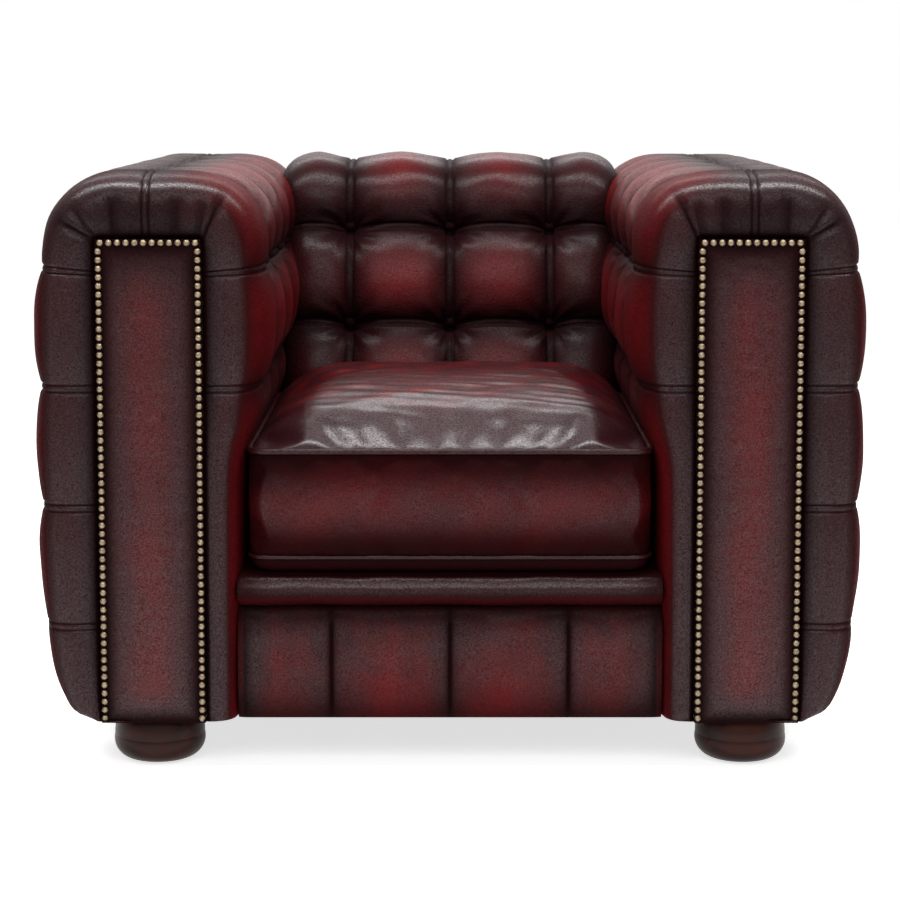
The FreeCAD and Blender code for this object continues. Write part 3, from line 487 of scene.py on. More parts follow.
ROW_HEIGHTS = (187, 340, 493, 646)
BAND_X = 383
top_part = slice(peak - 200, peak + 200)
BAND_RUN = float(np.interp(-BAND_X, -ARM_LINE[top_part, 0], ARM_RUN[top_part]))
INNER_ROW_HEIGHTS = (646, 493)
ARM_ROWS = np.array(
    [arm_run_at(z) for z in ROW_HEIGHTS] + [BAND_RUN] + [arm_run_at(z, True) for z in INNER_ROW_HEIGHTS]
)
ARM_ROW_DEPTH = np.array([9.0, 15.0, 18.0, 18.0, 6.0, 19.0, 19.0])
ARM_COLUMNS = np.array([-310.0, -155.0, 0.0, 155.0, 310.0])
print("section", round(ARM_RUN[-1]), "mm; seams at", ARM_ROWS.round())

# %% [markdown]
# The front border ends at the nailed facing. Points of the section are paired with points on the facing's
# edge, so the pleats fan out round its corners as they do where a cover is drawn round a box.

# %% The facing's edge
FACING_X, FACING_HALF, FACING_TOP = 380.0, 66.5, 683.0
EDGE_KEYS = [  # distance along the section, x, z
    (0, 430, 65),
    (60, 446.5, 65),
    (arm_run_at(187), 446.5, 187),
    (arm_run_at(340), 446.5, 340),
    (arm_run_at(493), 446.5, 493),
    (arm_run_at(640), 446.5, 636),
    (arm_run_at(716), 446.5, 682.5),
    (arm_run_at(742), 444, 683),
    (BAND_RUN - 42, 424, 683),
    (BAND_RUN, 383, 683),
    (BAND_RUN + 38, 345, 683),
    (BAND_RUN + 82, 316, 683),
    (BAND_RUN + 112, 313.5, 681),
    (arm_run_at(646, True), 313.5, 640),
    (arm_run_at(493, True), 313.5, 493),
    (arm_run_at(400, True), 313.5, 400),
    (ARM_RUN[-1] - 48, 313.5, 65),
    (ARM_RUN[-1], 318, 65),
]


def facing_edge(run):
    """The point of the facing's edge that belongs to each distance along the section."""
    keys, x, z = np.array(EDGE_KEYS).T
    return np.stack([np.interp(run, keys, x), np.interp(run, keys, z)], axis=-1)


print("facing's edge", len(EDGE_KEYS), "keys")

# %% The way round the ends
# Pairs of (share of the way from the facing's edge to the section, depth in mm).
FRONT_WAY = smooth_line(
    [
        (0.0, -443), (0.0, -449), (0.05, -454), (0.18, -460), (0.38, -462.5), (0.58, -460.5),
        (0.74, -454), (0.86, -443), (0.925, -428), (0.965, -408), (0.99, -382), (1.0, -350),
    ]
)
REAR_WAY = smooth_line(
    [
        (1.0, 350), (0.995, 385), (0.97, 415), (0.90, 440), (0.78, 455), (0.55, 463), (0.30, 463),
        (0.12, 455), (0.03, 447), (0.0, 443),
    ]
)
FRONT_RUN = run_length(FRONT_WAY * [95, 1])
REAR_RUN = run_length(REAR_WAY * [150, 1])


def rear_seam(run):
    """The point of the seam in the middle of the arm's rear end for each distance along the section."""
    z = np.interp(run, ARM_RUN, ARM_LINE[:, 1])
    z = np.minimum(z, 60 + (z - 60) * 0.93)
    return np.stack([np.full_like(z, FACING_X), z], axis=-1)


print("front way", round(FRONT_RUN[-1]), "mm; rear way", round(REAR_RUN[-1]), "mm")


# %% The arm's grid
STRAIGHT = 350  # half the length of the arm's straight part
FULL_DROOP = 7  # how far a row sags between two of its buttons


def arm_grid():
    """Each point's place: s along the section, t along the arm, and its distances to the seams.

    t is straight up to STRAIGHT and goes round the ends beyond. The shares fore and aft run from 0 at the
    facing's edge and at the rear seam to 1 on the full section; past is the distance from the top's band.
    """
    first = -STRAIGHT - FRONT_RUN[-1]
    last = STRAIGHT + REAR_RUN[-1]
    runs = stations(0, ARM_RUN[-1], ARM_ROWS, fine=1.8, coarse=8.5)
    hidden = (runs > arm_run_at(385, True)) & (runs < ARM_RUN[-1] - 60)
    runs = runs[~hidden | (np.arange(len(runs)) % 3 == 0)]
    ways = stations(first, last, list(ARM_COLUMNS) + [last], fine=2.0, coarse=9.0)
    g = SimpleNamespace()
    g.s, g.t = np.meshgrid(runs, ways, indexing="ij")
    g.past = g.s - BAND_RUN
    g.col_gap = nearest(g.t, ARM_COLUMNS)
    g.row_gap = nearest(g.s, ARM_ROWS)
    g.across = swell(g.t, ARM_COLUMNS, 125)
    g.fullness = swell(g.s, ARM_ROWS, 95)
    g.front = np.clip(g.t - first, 0, FRONT_RUN[-1])
    g.rear = np.clip(g.t - STRAIGHT, 0, REAR_RUN[-1])
    g.fore = np.interp(g.front, FRONT_RUN, FRONT_WAY[:, 0])
    g.aft = np.interp(g.rear, REAR_RUN, REAR_WAY[:, 0])
    g.to_end = np.abs(g.t - last)
    g.at_front = g.t < -STRAIGHT
    g.at_rear = g.t > STRAIGHT
    g.low_part = ease(g.s, ARM_ROWS[-1], ARM_ROWS[-1] + 70)
    g.bottom = fall(g.s, 60, 110)
    g.shoulder = bell(g.past - 130, 75)
    return g


GRID = arm_grid()
print("arm's net", GRID.s.shape)


# %% The arm's fullest shape
def arm_shape(g):
    """The cover before it is pulled in, edge + (section - edge) * share, and its unit normals."""
    side = np.where(g.s < BAND_RUN, 1.0, -1.0)
    droop = FULL_DROOP * np.exp(-np.abs(g.row_gap) / 40) * (1 - g.across) * side
    droop = droop * np.where(np.abs(g.past) < 60, 0, 1) * ease(g.t, -50 - STRAIGHT, 50 - STRAIGHT)
    section = np.stack([np.interp(g.s - droop, ARM_RUN, ARM_LINE[:, i]) for i in (0, 1)], axis=-1)
    y = np.where(g.at_front, np.interp(g.front, FRONT_RUN, FRONT_WAY[:, 1]), g.t)
    y = np.where(g.at_rear, np.interp(g.rear, REAR_RUN, REAR_WAY[:, 1]), y)
    edge = facing_edge(g.s)
    seam = rear_seam(g.s)
    front_half = edge + (section - edge) * g.fore[..., None]
    rear_half = seam + (section - seam) * g.aft[..., None]
    xz = np.where((g.t < 0)[..., None], front_half, rear_half)
    base = np.stack([xz[..., 0], y, xz[..., 1]], axis=-1)
    return base, -normals_of(base)


ARM_BASE, ARM_NORMAL = arm_shape(GRID)
print("arm's top at", ARM_BASE[..., 2].max().round(1), "mm")

# %% The folds of the front border
# Their place along the section, and how far they reach towards the arm's outline.
FRONT_FOLDS = [
    (BAND_RUN - 42, 0.72),
    (BAND_RUN + 38, 0.72),
    (BAND_RUN + 80, 0.72),
    (arm_run_at(716), 0.8),
    (arm_run_at(741), 0.8),
    (BAND_RUN + 108, 0.95),
]


def front_folds(g):
    """1 in the bottom of a fold, falling by exp(-distance / 5), and faded out at both of its ends."""
    fold = np.zeros_like(g.s)
    for place, reach in FRONT_FOLDS:
        fade = ease(g.fore, 0.03, 0.16) * fall(g.fore, reach - 0.25, reach)
        fold = np.maximum(fold, np.exp(-np.abs((g.s - place) / 5.0)) * fade)
    return fold


FOLD = front_folds(GRID)
print("folds", len(FRONT_FOLDS))


# %% The arm's seams and tufts
def arm_relief(g, seed):
    """How far each point is pulled in, with the depth of the rows and the tufts' own wear and polish."""
    strength = ease(g.fore, 0.02, 0.25) * (0.30 + 0.25 * ease(g.fore, 0.6, 1.0))
    strength = np.where(g.at_front, strength, 0.55 + 0.45 * ease(g.t, -STRAIGHT, 50 - STRAIGHT))
    strength = np.where(g.at_rear, ease(g.aft, 0.0, 0.3), strength)
    depth = np.interp(g.s, ARM_ROWS, ARM_ROW_DEPTH) * (1 - g.low_part) * (1 - g.bottom)
    on_top = bell(g.past, 110)
    col_depth = (14 - 2 * on_top + 9 * g.shoulder) * ((1 - g.low_part) * (1 - g.bottom))
    col_depth = col_depth * ease(g.t, -50 - STRAIGHT, -STRAIGHT) * fall(g.t, 380, 420)
    low, rubbed, gloss_and_painted_light = tuft(g.s, g.t, g.fullness, g.across, g.row_gap, g.col_gap, depth, col_depth, seed)
    band = np.where(np.abs(g.past) < 30, 2, 1)
    seams = sewn(g.row_gap, g.col_gap, depth * band, col_depth)
    seams += 5.0 * g.shoulder * np.exp(-np.abs(g.col_gap) / 3.5) * (g.t > -345)
    seams *= np.where(g.t < 0, ease(g.fore, 0.0, 0.04), ease(g.aft, 0.0, 0.05))
    low = low * strength + seams
    low += 9.5 * FOLD * (g.at_front & (g.fore < 0.93))
    chevron = np.sin(2 * math.pi * (g.t + 0.9 * np.abs(g.past)) / 36)
    low += 1.3 * chevron * bell(g.past, 13) * (g.t > -400)
    low += 9 * fall(g.to_end, 0, 26) * g.at_rear
    return low, depth, rubbed, gloss_and_painted_light


print("rows", len(ARM_ROWS), "columns", len(ARM_COLUMNS))


# %% The arm's wear
def arm_wear(g, depth, rubbed, gloss_and_painted_light):
    """Red where sleeves rub and dark on top outside, with painted light: a painted grey sheen on the front
    border, a painted highlight along its upper rim and painted shade in the folds and creases.
    """
    inner_side = ease(g.s, BAND_RUN + 60, BAND_RUN + 150)
    outer_side = 1 - inner_side
    rubbed = rubbed * (1 - g.low_part * 0.8) * (1 - 0.6 * g.bottom)
    turned = inner_side * ease(g.fore, 0.58, 0.78) + outer_side * ease(g.fore, 0.76, 0.92)
    rubbed = np.where(g.at_front, g.fullness**0.7 * 0.6 * turned, rubbed)
    rubbed += np.where(g.at_front, 0.10 * ease(g.fore, 0.1, 0.4) * (1 - turned), 0)
    top_inner = bell(g.past - 115, 70)
    rubbed *= (0.75 + 0.1 * top_inner)
    outer_top = ease(g.s, BAND_RUN - 230, BAND_RUN - 150) * fall(g.s, BAND_RUN + 10, BAND_RUN + 80)
    rubbed *= (1 - 0.8 * outer_top)
    # Beside the shoulder's folds the red is rubbed less, and painted shade darkens them.
    near_fold = bell(g.col_gap, 30) * g.shoulder * (g.t > -345)
    rubbed = rubbed * (1 - FOLD) * (1 - 0.95 * near_fold)
    # face is a painted grey sheen on the front border and painted_rim_highlight a painted highlight on its
    # upper rounding; lines paint shade into the creases and folds.
    face = ease(g.fore, 0.02, 0.24) * (1 - inner_side * ease(g.fore, 0.50, 0.68))
    face *= (1 - outer_side * ease(g.fore, 0.62, 0.80))
    lines = unit(creases(g.row_gap) * (depth > 3) + 1.3 * FOLD)
    upper = bell(g.past, 120)
    painted_rim_highlight = 0.9 * bell(g.fore - 0.82, 0.11) * upper
    gloss_and_painted_light = np.where(g.at_front, face * (0.55 - 0.3 * upper) + painted_rim_highlight, gloss_and_painted_light * (0.5 + 0.05 * g.shoulder))
    gloss_and_painted_light *= np.where(g.at_front, 1 - lines, 1 - near_fold)
    return unit(rubbed), unit(gloss_and_painted_light)


print("wear ready")


# %% The arm's cover
def arm_net(seed):
    """The left arm's cover, pulled in along its normals and shut along the seam in its rear end."""
    low, depth, rubbed, gloss_and_painted_light = arm_relief(GRID, seed)
    points = ARM_BASE - ARM_NORMAL * low[..., None]
    shut = fall(GRID.to_end, 0, 16)[..., None] * GRID.at_rear[..., None]
    points = points * (1 - shut) + (ARM_BASE - [0, 9, 0]) * shut
    return points, *arm_wear(GRID, depth, rubbed, gloss_and_painted_light)


for side, word, seed in ((1, "left", 11), (-1, "right", 23)):
    points, rubbed, gloss_and_painted_light = arm_net(seed)
    quads = net_quads(*points.shape[:2], flip=side < 0)
    piece = add_piece(word + "_arm_leather", points * [side, 1, 1], quads, rubbed, gloss_and_painted_light)
    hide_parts(word + "_arm_cover", word + "_arm_foam")

# %% [markdown]
# ## The back
#
# The back is one cover from the seat, up the raked inside, over the top and down the rear. Its columns of
# buttons stand 152 mm apart. It could be cut into three panels, but one net keeps the pleats running over the
# top without a step, as on the real chair.

# %% The back's section
BACK_LINE = smooth_line(
    [
        (103, 246), (118, 300), (131, 352), (139, 392), (140, 425), (143, 455), (151, 495), (159, 530),
        (169, 570), (179, 610), (188, 645), (195, 672), (203, 702), (214, 727), (232, 749), (258, 763),
        (290, 770), (330, 772), (370, 771), (402, 766), (428, 754), (447, 736), (458, 712), (462, 685),
        (463, 646), (463, 570), (463, 493), (463, 416), (462, 340), (461, 290), (457, 240), (450, 187),
        (444, 140), (438, 104), (430, 74), (418, 65), (385, 64.5), (340, 64.5),
    ]
)
BACK_RUN = run_length(BACK_LINE)
crown_at = int(BACK_LINE[:, 1].argmax())


def back_run_at(z, rear=False):
    """Distance along the back's section where it passes a height, inside or at the rear."""
    if rear:
        return float(np.interp(-z, -BACK_LINE[crown_at:, 1], BACK_RUN[crown_at:]))
    return float(np.interp(z, BACK_LINE[:crown_at, 1], BACK_RUN[:crown_at]))


BACK_ROWS = np.array(
    [back_run_at(518), back_run_at(662), back_run_at(757, True)]
    + [back_run_at(z, True) for z in (646, 493, 340, 187)]
)
BACK_ROW_DEPTH = np.array([20.0, 21.0, 5.0, 17.0, 17.0, 15.0, 9.0])
BACK_COLUMNS = np.array([-152.0, 0.0, 152.0])
BACK_END = 262.0
print("back section", round(BACK_RUN[-1]), "mm; seams at", BACK_ROWS.round())


# %% The back's cover
def back_net(seed):
    """Points of the back's cover, how much each is rubbed, and its gloss with painted light: a painted
    highlight on the topmost tiles and painted shade beside the arms.
    """
    runs = stations(0, BACK_RUN[-1], BACK_ROWS, fine=1.8, coarse=8.5)
    xs = stations(-BACK_END, BACK_END, [-BACK_END, *BACK_COLUMNS, BACK_END], fine=1.9, coarse=8.5)
    s, x = np.meshgrid(runs, xs, indexing="ij")
    row_gap = nearest(s, BACK_ROWS)
    col_gap = nearest(x, BACK_COLUMNS)
    edges = [-BACK_END + 4, *BACK_COLUMNS, BACK_END - 4]
    across = swell(x, edges, 8)
    rise = np.where(s < BACK_ROWS[2], 1.0, -1.0)
    over_top = ease(s, BACK_ROWS[1] + 40, BACK_ROWS[1] + 110)
    bow = rise * (9 * (1 - over_top) + 5 * over_top) * np.exp(-np.abs(row_gap) / 45) * (across - 0.35)
    bow *= np.where(np.abs(s - BACK_ROWS[2]) < 60, 0, 1)
    bow *= fall(s, BACK_ROWS[-1], BACK_ROWS[-1] + 60)
    sd = np.clip(s + bow, 0, BACK_RUN[-1])
    y = np.interp(sd, BACK_RUN, BACK_LINE[:, 0])
    z = np.interp(sd, BACK_RUN, BACK_LINE[:, 1])
    base = np.stack([x, y, z], axis=-1)
    normal = -normals_of(base)
    depth = np.interp(s, BACK_ROWS, BACK_ROW_DEPTH)
    seat_part = fall(s, 150, 190)
    bottom = ease(s, BACK_ROWS[-1] + 70, BACK_ROWS[-1] + 110)
    depth = depth * (1 - seat_part) * (1 - bottom)
    col_depth = (13.0 - 2.0 * ease(s, BACK_ROWS[2], BACK_ROWS[3])) * (1 - seat_part) * (1 - bottom)
    fullness = swell(s, BACK_ROWS, 100)
    across = across * (1 - over_top) + swell(x, edges, 8, 1.5) * over_top
    low, rubbed, gloss_and_painted_light = tuft(s, x, fullness, across, row_gap, col_gap, depth, col_depth, seed)
    low += sewn(row_gap, col_gap, depth, col_depth)
    end = BACK_END - np.abs(x)
    upright = fall(s, BACK_ROWS[-1] - 20, BACK_ROWS[-1] + 50)
    low += (14 * np.exp(-end / 16) + 22 * np.exp(-end / 4)) * upright
    base[..., 0] += 12 * np.sign(x) * ease(np.abs(x), 200, BACK_END) * (1 - upright)
    points = base - normal * low[..., None]
    side_tile = ease(np.abs(x), 150, 190)
    rubbed = rubbed * (1 - 0.6 * side_tile) * (1 - seat_part)
    topmost = ease(s, BACK_ROWS[1] + 95, BACK_ROWS[1] + 140) * fall(s, BACK_ROWS[2], BACK_ROWS[2] + 80)
    rubbed = rubbed**1.5 * (0.60 + 0.05 * topmost)
    # Painted highlight on the topmost tiles, painted shade towards the arms.
    gloss_and_painted_light = gloss_and_painted_light * (0.28 + 0.5 * topmost) * (1 - 0.9 * np.exp(-end / 20))
    return points, unit(rubbed), gloss_and_painted_light


back_points, back_rubbed, back_polish = back_net(37)
back_faces = net_quads(*back_points.shape[:2], flip=True)
back = add_piece("back_leather", back_points, back_faces, back_rubbed, back_polish)
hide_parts("back_cover", "back_foam")

# %% [markdown]
# ## The nailed facings
#
# A facing is a board with a little wadding under tight leather. Each nail dents the leather's edge, so the
# net is pressed in at the nails' places.


# %% Nail places
NAIL_COLUMN = 62.5  # from the facing's middle to its rows of nails
NAIL_TOP = 678.5
NAIL_PITCH = 10.9


def nail_places():
    """(x, z) of the left facing's nails: across the top edge and down both sides."""
    across = FACING_X + (np.arange(12) - 5.5) * NAIL_PITCH
    down = NAIL_TOP - NAIL_PITCH * np.arange(1, 57)
    x = np.concatenate([across, np.full(56, FACING_X - NAIL_COLUMN), np.full(56, FACING_X + NAIL_COLUMN)])
    z = np.concatenate([np.full(12, NAIL_TOP), down, down])
    return np.stack([x, z], axis=-1)


print("nails on a facing", len(nail_places()))


# %% Facing covers
def facing_net(seed):
    """Points, wear, and gloss with painted shade of the left facing: crown 7 (1 - (x/58)^2)^0.85 mm, dented
    beside each nail.
    """
    half, top, bottom = FACING_HALF, FACING_TOP, 62.0
    across = stations(-half, half, [-NAIL_COLUMN, NAIL_COLUMN], fine=2.0, coarse=6.0, hold=4)
    under_nails = stations(top - 16, top, [NAIL_TOP], fine=1.6, hold=20)
    up = np.concatenate([np.arange(bottom, top - 16, 2.75), under_nails])
    across = np.concatenate([[-half], across, [half]])
    up = np.concatenate([[bottom], up, [top]])
    x, z = np.meshgrid(across, up, indexing="ij")
    crown = 7 * unit(1 - (x / 58) ** 2) ** 0.85
    crown = crown * ease(z, bottom + 4, bottom + 40) * fall(z, top - 75, top - 6)
    y = -458.0 - crown - 0.5 * ripple(x, z, 90, seed) - 0.25 * ripple(x, z, 28, seed + 1)
    for place_x, place_z in nail_places():
        y += 0.9 * np.exp(-(((x - place_x + FACING_X) ** 2 + (z - place_z) ** 2) / 30.0))
    y[[0, -1]] = y[:, [0, -1]] = -445.5
    points = np.stack([x + FACING_X, y, z], axis=-1)
    strip = np.exp(-(np.abs((x - 2) / 32) ** 2.2))
    strip = strip * ease(z, bottom + 8, bottom + 50) * fall(z, top - 105, top - 20)
    rubbed = 0.46 * strip * (1 + 0.18 * ripple(x * 2, z, 110, seed + 2)) + 0.05
    edge = np.minimum(np.minimum(half - np.abs(x), top - z), z - bottom + 6)
    # Painted shade towards the facing's edges, a painted shadow under its top border and a little painted
    # sheen on the middle strip.
    gloss_and_painted_light = ease(edge, 7, 30) * (0.6 - 0.35 * ease(z, top - 70, top - 15)) * (1 + 0.15 * strip)
    return points, unit(rubbed * ease(edge, 5, 22)), gloss_and_painted_light


for side, word, seed in ((1, "left", 51), (-1, "right", 67)):
    points, rubbed, gloss_and_painted_light = facing_net(seed)
    quads = net_quads(*points.shape[:2], flip=side > 0)
    cover = add_piece(word + "_facing_leather", points * [side, 1, 1], quads, rubbed, gloss_and_painted_light)
    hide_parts(word + "_facing_cover")
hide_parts("facing_wadding")

# %% [markdown]
# ## Front rail and roll
#
# Below the cushion a padded roll crosses the front, and under it a lightly padded panel covers the rail.
# Three pleats in line with the back's buttons divide the panel. Both are one profile carried from arm to arm,
# which is the way a bar of foam is covered too.


# %% Profiles across the front
# Pairs of (depth, height) in mm: the panel from its bottom edge up, the roll from under the cushion forwards.
PANEL_PROFILE = [
    (-424, 65), (-438, 65), (-448, 68), (-453, 84), (-454.5, 115), (-455, 145), (-453.5, 178), (-449, 199),
    (-441, 211), (-428, 216),
]
ROLL_PROFILE = [
    (-340, 254.9), (-380, 254.9), (-424, 254.6), (-437, 253.5), (-448, 249), (-454.5, 240), (-456, 232),
    (-453.5, 222), (-446, 215), (-436, 210), (-430, 204),
]
BAR_HALF = 272  # half the length of the panel and of the roll, tucked 6 mm under each arm
print("front bars", 2 * BAR_HALF, "mm long")


# %% Front rail panel and roll
def bar_net(profile, columns, step):
    """A net that carries a (y, z) profile from arm to arm, with the distance to the nearest pleat."""
    line = smooth_line(profile)
    run = run_length(line)
    along = np.arange(0, run[-1] + step, step)
    xs = stations(-BAR_HALF, BAR_HALF, [-262, *columns, 262], fine=1.6, coarse=7.0)
    s, x = np.meshgrid(np.minimum(along, run[-1]), xs, indexing="ij")
    base = np.stack([x, np.interp(s, run, line[:, 0]), np.interp(s, run, line[:, 1])], axis=-1)
    normal = normals_of(base)
    base[..., 1] += 3 * np.exp(-(BAR_HALF - np.abs(x)) / 5)
    return base, normal, s, x


def add_rail_panel():
    """The pleated panel on the front rail. Its profile runs up, so its normals point inwards."""
    base, normal, s, x = bar_net(PANEL_PROFILE, BACK_COLUMNS, 3.2)
    across = swell(x, [-264, *BACK_COLUMNS, 264], 1)
    gap = nearest(x, BACK_COLUMNS)
    z = base[..., 2]
    low = 4.0 * (1 - across) + 3.0 * bell(gap, 2.0) + 1.0 * ripple(x, s, 70, 72)
    low += 0.9 * ripple(s * 0.2, x, 22, 73) * np.exp(-np.abs(gap) / 12)
    low = low * ease(z, 66, 84) * fall(z, 186, 206)
    patch = bell(z - 102, 40) * (0.62 + 0.25 * np.cos(x / 80) + 0.2 * ripple(x, z, 60, 74))
    haze = 0.34 * bell(z - 150, 45) * (1 + 0.5 * ripple(x, z, 45, 75))
    rubbed = across * (0.62 * patch + haze) * (1 - 0.5 * ease(np.abs(x), 215, 262))
    points = base + normal * low[..., None]
    # Painted shade in the pleats, towards the bottom, under the roll and beside the arms, and less painted
    # sheen on the red patches.
    gloss_and_painted_light = (0.5 - 0.5 * bell(gap, 6)) * ease(z, 60, 120)
    gloss_and_painted_light = gloss_and_painted_light * (1 - 0.9 * ease(z, 178, 205)) * (1 - 0.5 * patch)
    gloss_and_painted_light *= (1 - 0.8 * ease(np.abs(x), 248, 266))
    quads = net_quads(*points.shape[:2])
    panel = add_piece("front_rail_leather", points, quads, unit(rubbed), unit(gloss_and_painted_light))
    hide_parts("front_rail_cover", "front_rail_pad")


def add_roll():
    """The roll above the panel, a padded bar under the cushion's front edge."""
    base, normal, s, x = bar_net(ROLL_PROFILE, (), 1.8)
    low = 0.8 * ripple(x * 0.5, s, 60, 82) + 0.3 * ripple(x, s, 18, 83)
    low *= ease(-base[..., 1], 424, 440)
    points = base - normal * low[..., None]
    rubbed = 0.06 + 0.16 * bell(base[..., 2] - 221, 6)
    # A painted highlight along the roll's front, fading into painted shade towards the arms.
    gloss_and_painted_light = 0.7 * bell(base[..., 2] - 240, 9) * (1 - 0.7 * ease(np.abs(x), 225, 262))
    roll = add_piece("front_roll_leather", points, net_quads(*points.shape[:2], flip=True), rubbed, gloss_and_painted_light)
    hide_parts("front_roll_cover", "front_roll_foam")


add_rail_panel()
add_roll()

# %% [markdown]
# ## The cushion
#
# The loose cushion is a boxed cover over foam: a crowned top, a band round the sides and piped seams. A cloth
# simulation blows a slightly too large cover up against its pinned seams, which gives the soft wrinkles of
# leather on foam that modelling by hand seldom gets.

# %% Cushion size
CUSHION_HALF = 256.0
CUSHION_FRONT = -446.0
TOP_SEAM = 412.0
LOW_SEAM = 275.6
CUSHION_CROWN = 50.0
CORNER = 24.0
LOW_SEAM_RING = 16  # rings from the top seam to the lower one


def cushion_rear(z):
    """Depth of the cushion's raked rear face: the back's seam plane less 9 mm."""
    return 216 + (z - 666) * math.tan(math.radians(15)) - 9


def cushion_level(u, v, z, inset):
    """Points of the cushion's rounded outline, or inside it, at a height; u and v run from -1 to 1."""
    half = CUSHION_HALF - inset
    front = CUSHION_FRONT + inset
    depth = cushion_rear(z) - inset - front
    x = half * u
    y = (v + 1) / 2 * depth
    near = np.minimum(y, depth - y)
    a = unit((np.abs(x) - half + CORNER) / CORNER)
    b = unit((CORNER - near) / CORNER)
    both = (a > 0) & (b > 0)
    pull = np.where(both, np.maximum(a, b) / np.maximum(np.hypot(a, b), 1e-6), 1)
    x = np.where(both, np.sign(x) * (half - CORNER + CORNER * a * pull), x)
    y_near = CORNER - CORNER * b * pull
    y = np.where(both, np.where(y < depth / 2, y_near, depth - y_near), y)
    return x, y + front


print("cushion", 2 * CUSHION_HALF, "mm wide")


# %% Cushion net
def cushion_net(step=8.5):
    """Points, faces and rings of the cushion: a top net, rings down the sides and a bottom net."""
    depth = cushion_rear(TOP_SEAM) - CUSHION_FRONT
    n = int(2 * CUSHION_HALF / step) | 1
    m = int(depth / step) | 1
    u, v = np.meshgrid(np.linspace(-1, 1, n), np.linspace(-1, 1, m), indexing="ij")
    index = np.arange(n * m).reshape(n, m)
    ring = np.concatenate([index[:-1, 0], index[-1, :-1], index[:0:-1, -1], index[0, :0:-1]])
    ru, rv = u.ravel()[ring], v.ravel()[ring]
    x, y = cushion_level(u, v, TOP_SEAM, 0)
    slope = np.where(v < 0, 1 - np.abs(v) ** 3.6, 1 - np.abs(v) ** 9)
    z = TOP_SEAM + CUSHION_CROWN * (1 - np.abs(u) ** 6) ** 0.8 * slope**0.8
    parts = [np.stack([x, y, z], axis=-1).reshape(-1, 3)]
    faces = [net_quads(n, m)]
    rows = [ring]
    total = n * m
    heights = np.linspace(TOP_SEAM, LOW_SEAM, LOW_SEAM_RING + 1)
    levels = [(h, 0.0) for h in heights[1:]]
    levels += [(268.0, 0.3), (261.0, 3.0), (256.5, 8.0), (255.2, 16.0)]
    for height, inset in levels:
        x, y = cushion_level(ru, rv, height, inset)
        parts.append(np.stack([x, y, np.full_like(x, height)], axis=-1))
        rows.append(np.arange(total, total + len(ring)))
        total += len(ring)
    x, y = cushion_level(u, v, 255.0, 24.0)
    parts.append(np.stack([x, y, np.full_like(x, 255.0)], axis=-1).reshape(-1, 3))
    rows.append(ring + total)
    for upper, lower in zip(rows, rows[1:]):
        faces.append(np.stack([upper, lower, np.roll(lower, -1), np.roll(upper, -1)], axis=-1))
    faces.append(net_quads(n, m, flip=True) + total)
    return np.vstack(parts), np.vstack(faces), ring, rows[LOW_SEAM_RING]


cushion_points = cushion_net()[0]
print("cushion net", len(cushion_points), "points")


# %% The cover blown up
def settle(name, points, quads, pinned, pressure=3.0, growth=0.035):
    """Cloth over a fixed set of points, blown up for 20 frames; gives the settled points in millimetres."""
    trial = add_piece(name, points, quads, 0.0)
    group = trial.vertex_groups.new(name="pinned")
    group.add(np.where(pinned)[0].tolist(), 1.0, "REPLACE")
    cloth = trial.modifiers.new("cloth", "CLOTH")
    cloth.settings.quality = 6
    cloth.settings.mass = 0.25
    cloth.settings.vertex_group_mass = "pinned"
    cloth.settings.use_pressure = True
    cloth.settings.uniform_pressure_force = pressure
    cloth.settings.shrink_min = -growth
    cloth.settings.bending_stiffness = 1.5
    cloth.settings.effector_weights.gravity = 0
    cloth.point_cache.frame_start = 1
    cloth.point_cache.frame_end = 20
    for number in range(1, 21):
        bpy.context.scene.frame_set(number)
    seen = trial.evaluated_get(bpy.context.evaluated_depsgraph_get())
    flat = np.zeros(len(points) * 3, np.float32)
    seen.data.vertices.foreach_get("co", flat)
    bpy.data.objects.remove(trial)
    bpy.context.scene.frame_set(1)
    return flat.reshape(-1, 3) / MM


print("cloth ready")


# %% Cushion cover
def cushion_rubbed(points):
    """How much the cushion is rubbed: a band along the middle of its sides and wavy streaks on top."""
    x, y, z = points[:, 0], points[:, 1], points[:, 2]
    band = bell(z - 340 + 5 * np.sin(x / 60), 36) * (z < TOP_SEAM - 4)
    band *= (0.45 + 0.25 * bell(np.abs(x) - 110, 90) + 0.22 * ripple(x * 0.6, z, 55, 93))
    streak = 0.5 + 0.3 * ripple(x * 0.35, y, 34, 91) + 0.3 * ripple(x, y, 48, 97, 14)
    top = ease(z, TOP_SEAM + 6, TOP_SEAM + 30)
    slope = ease(y, -400, -300)
    return unit(band * 0.66 + top * slope * np.clip(streak, 0, 1) ** 1.6 * 0.7 + 0.04)


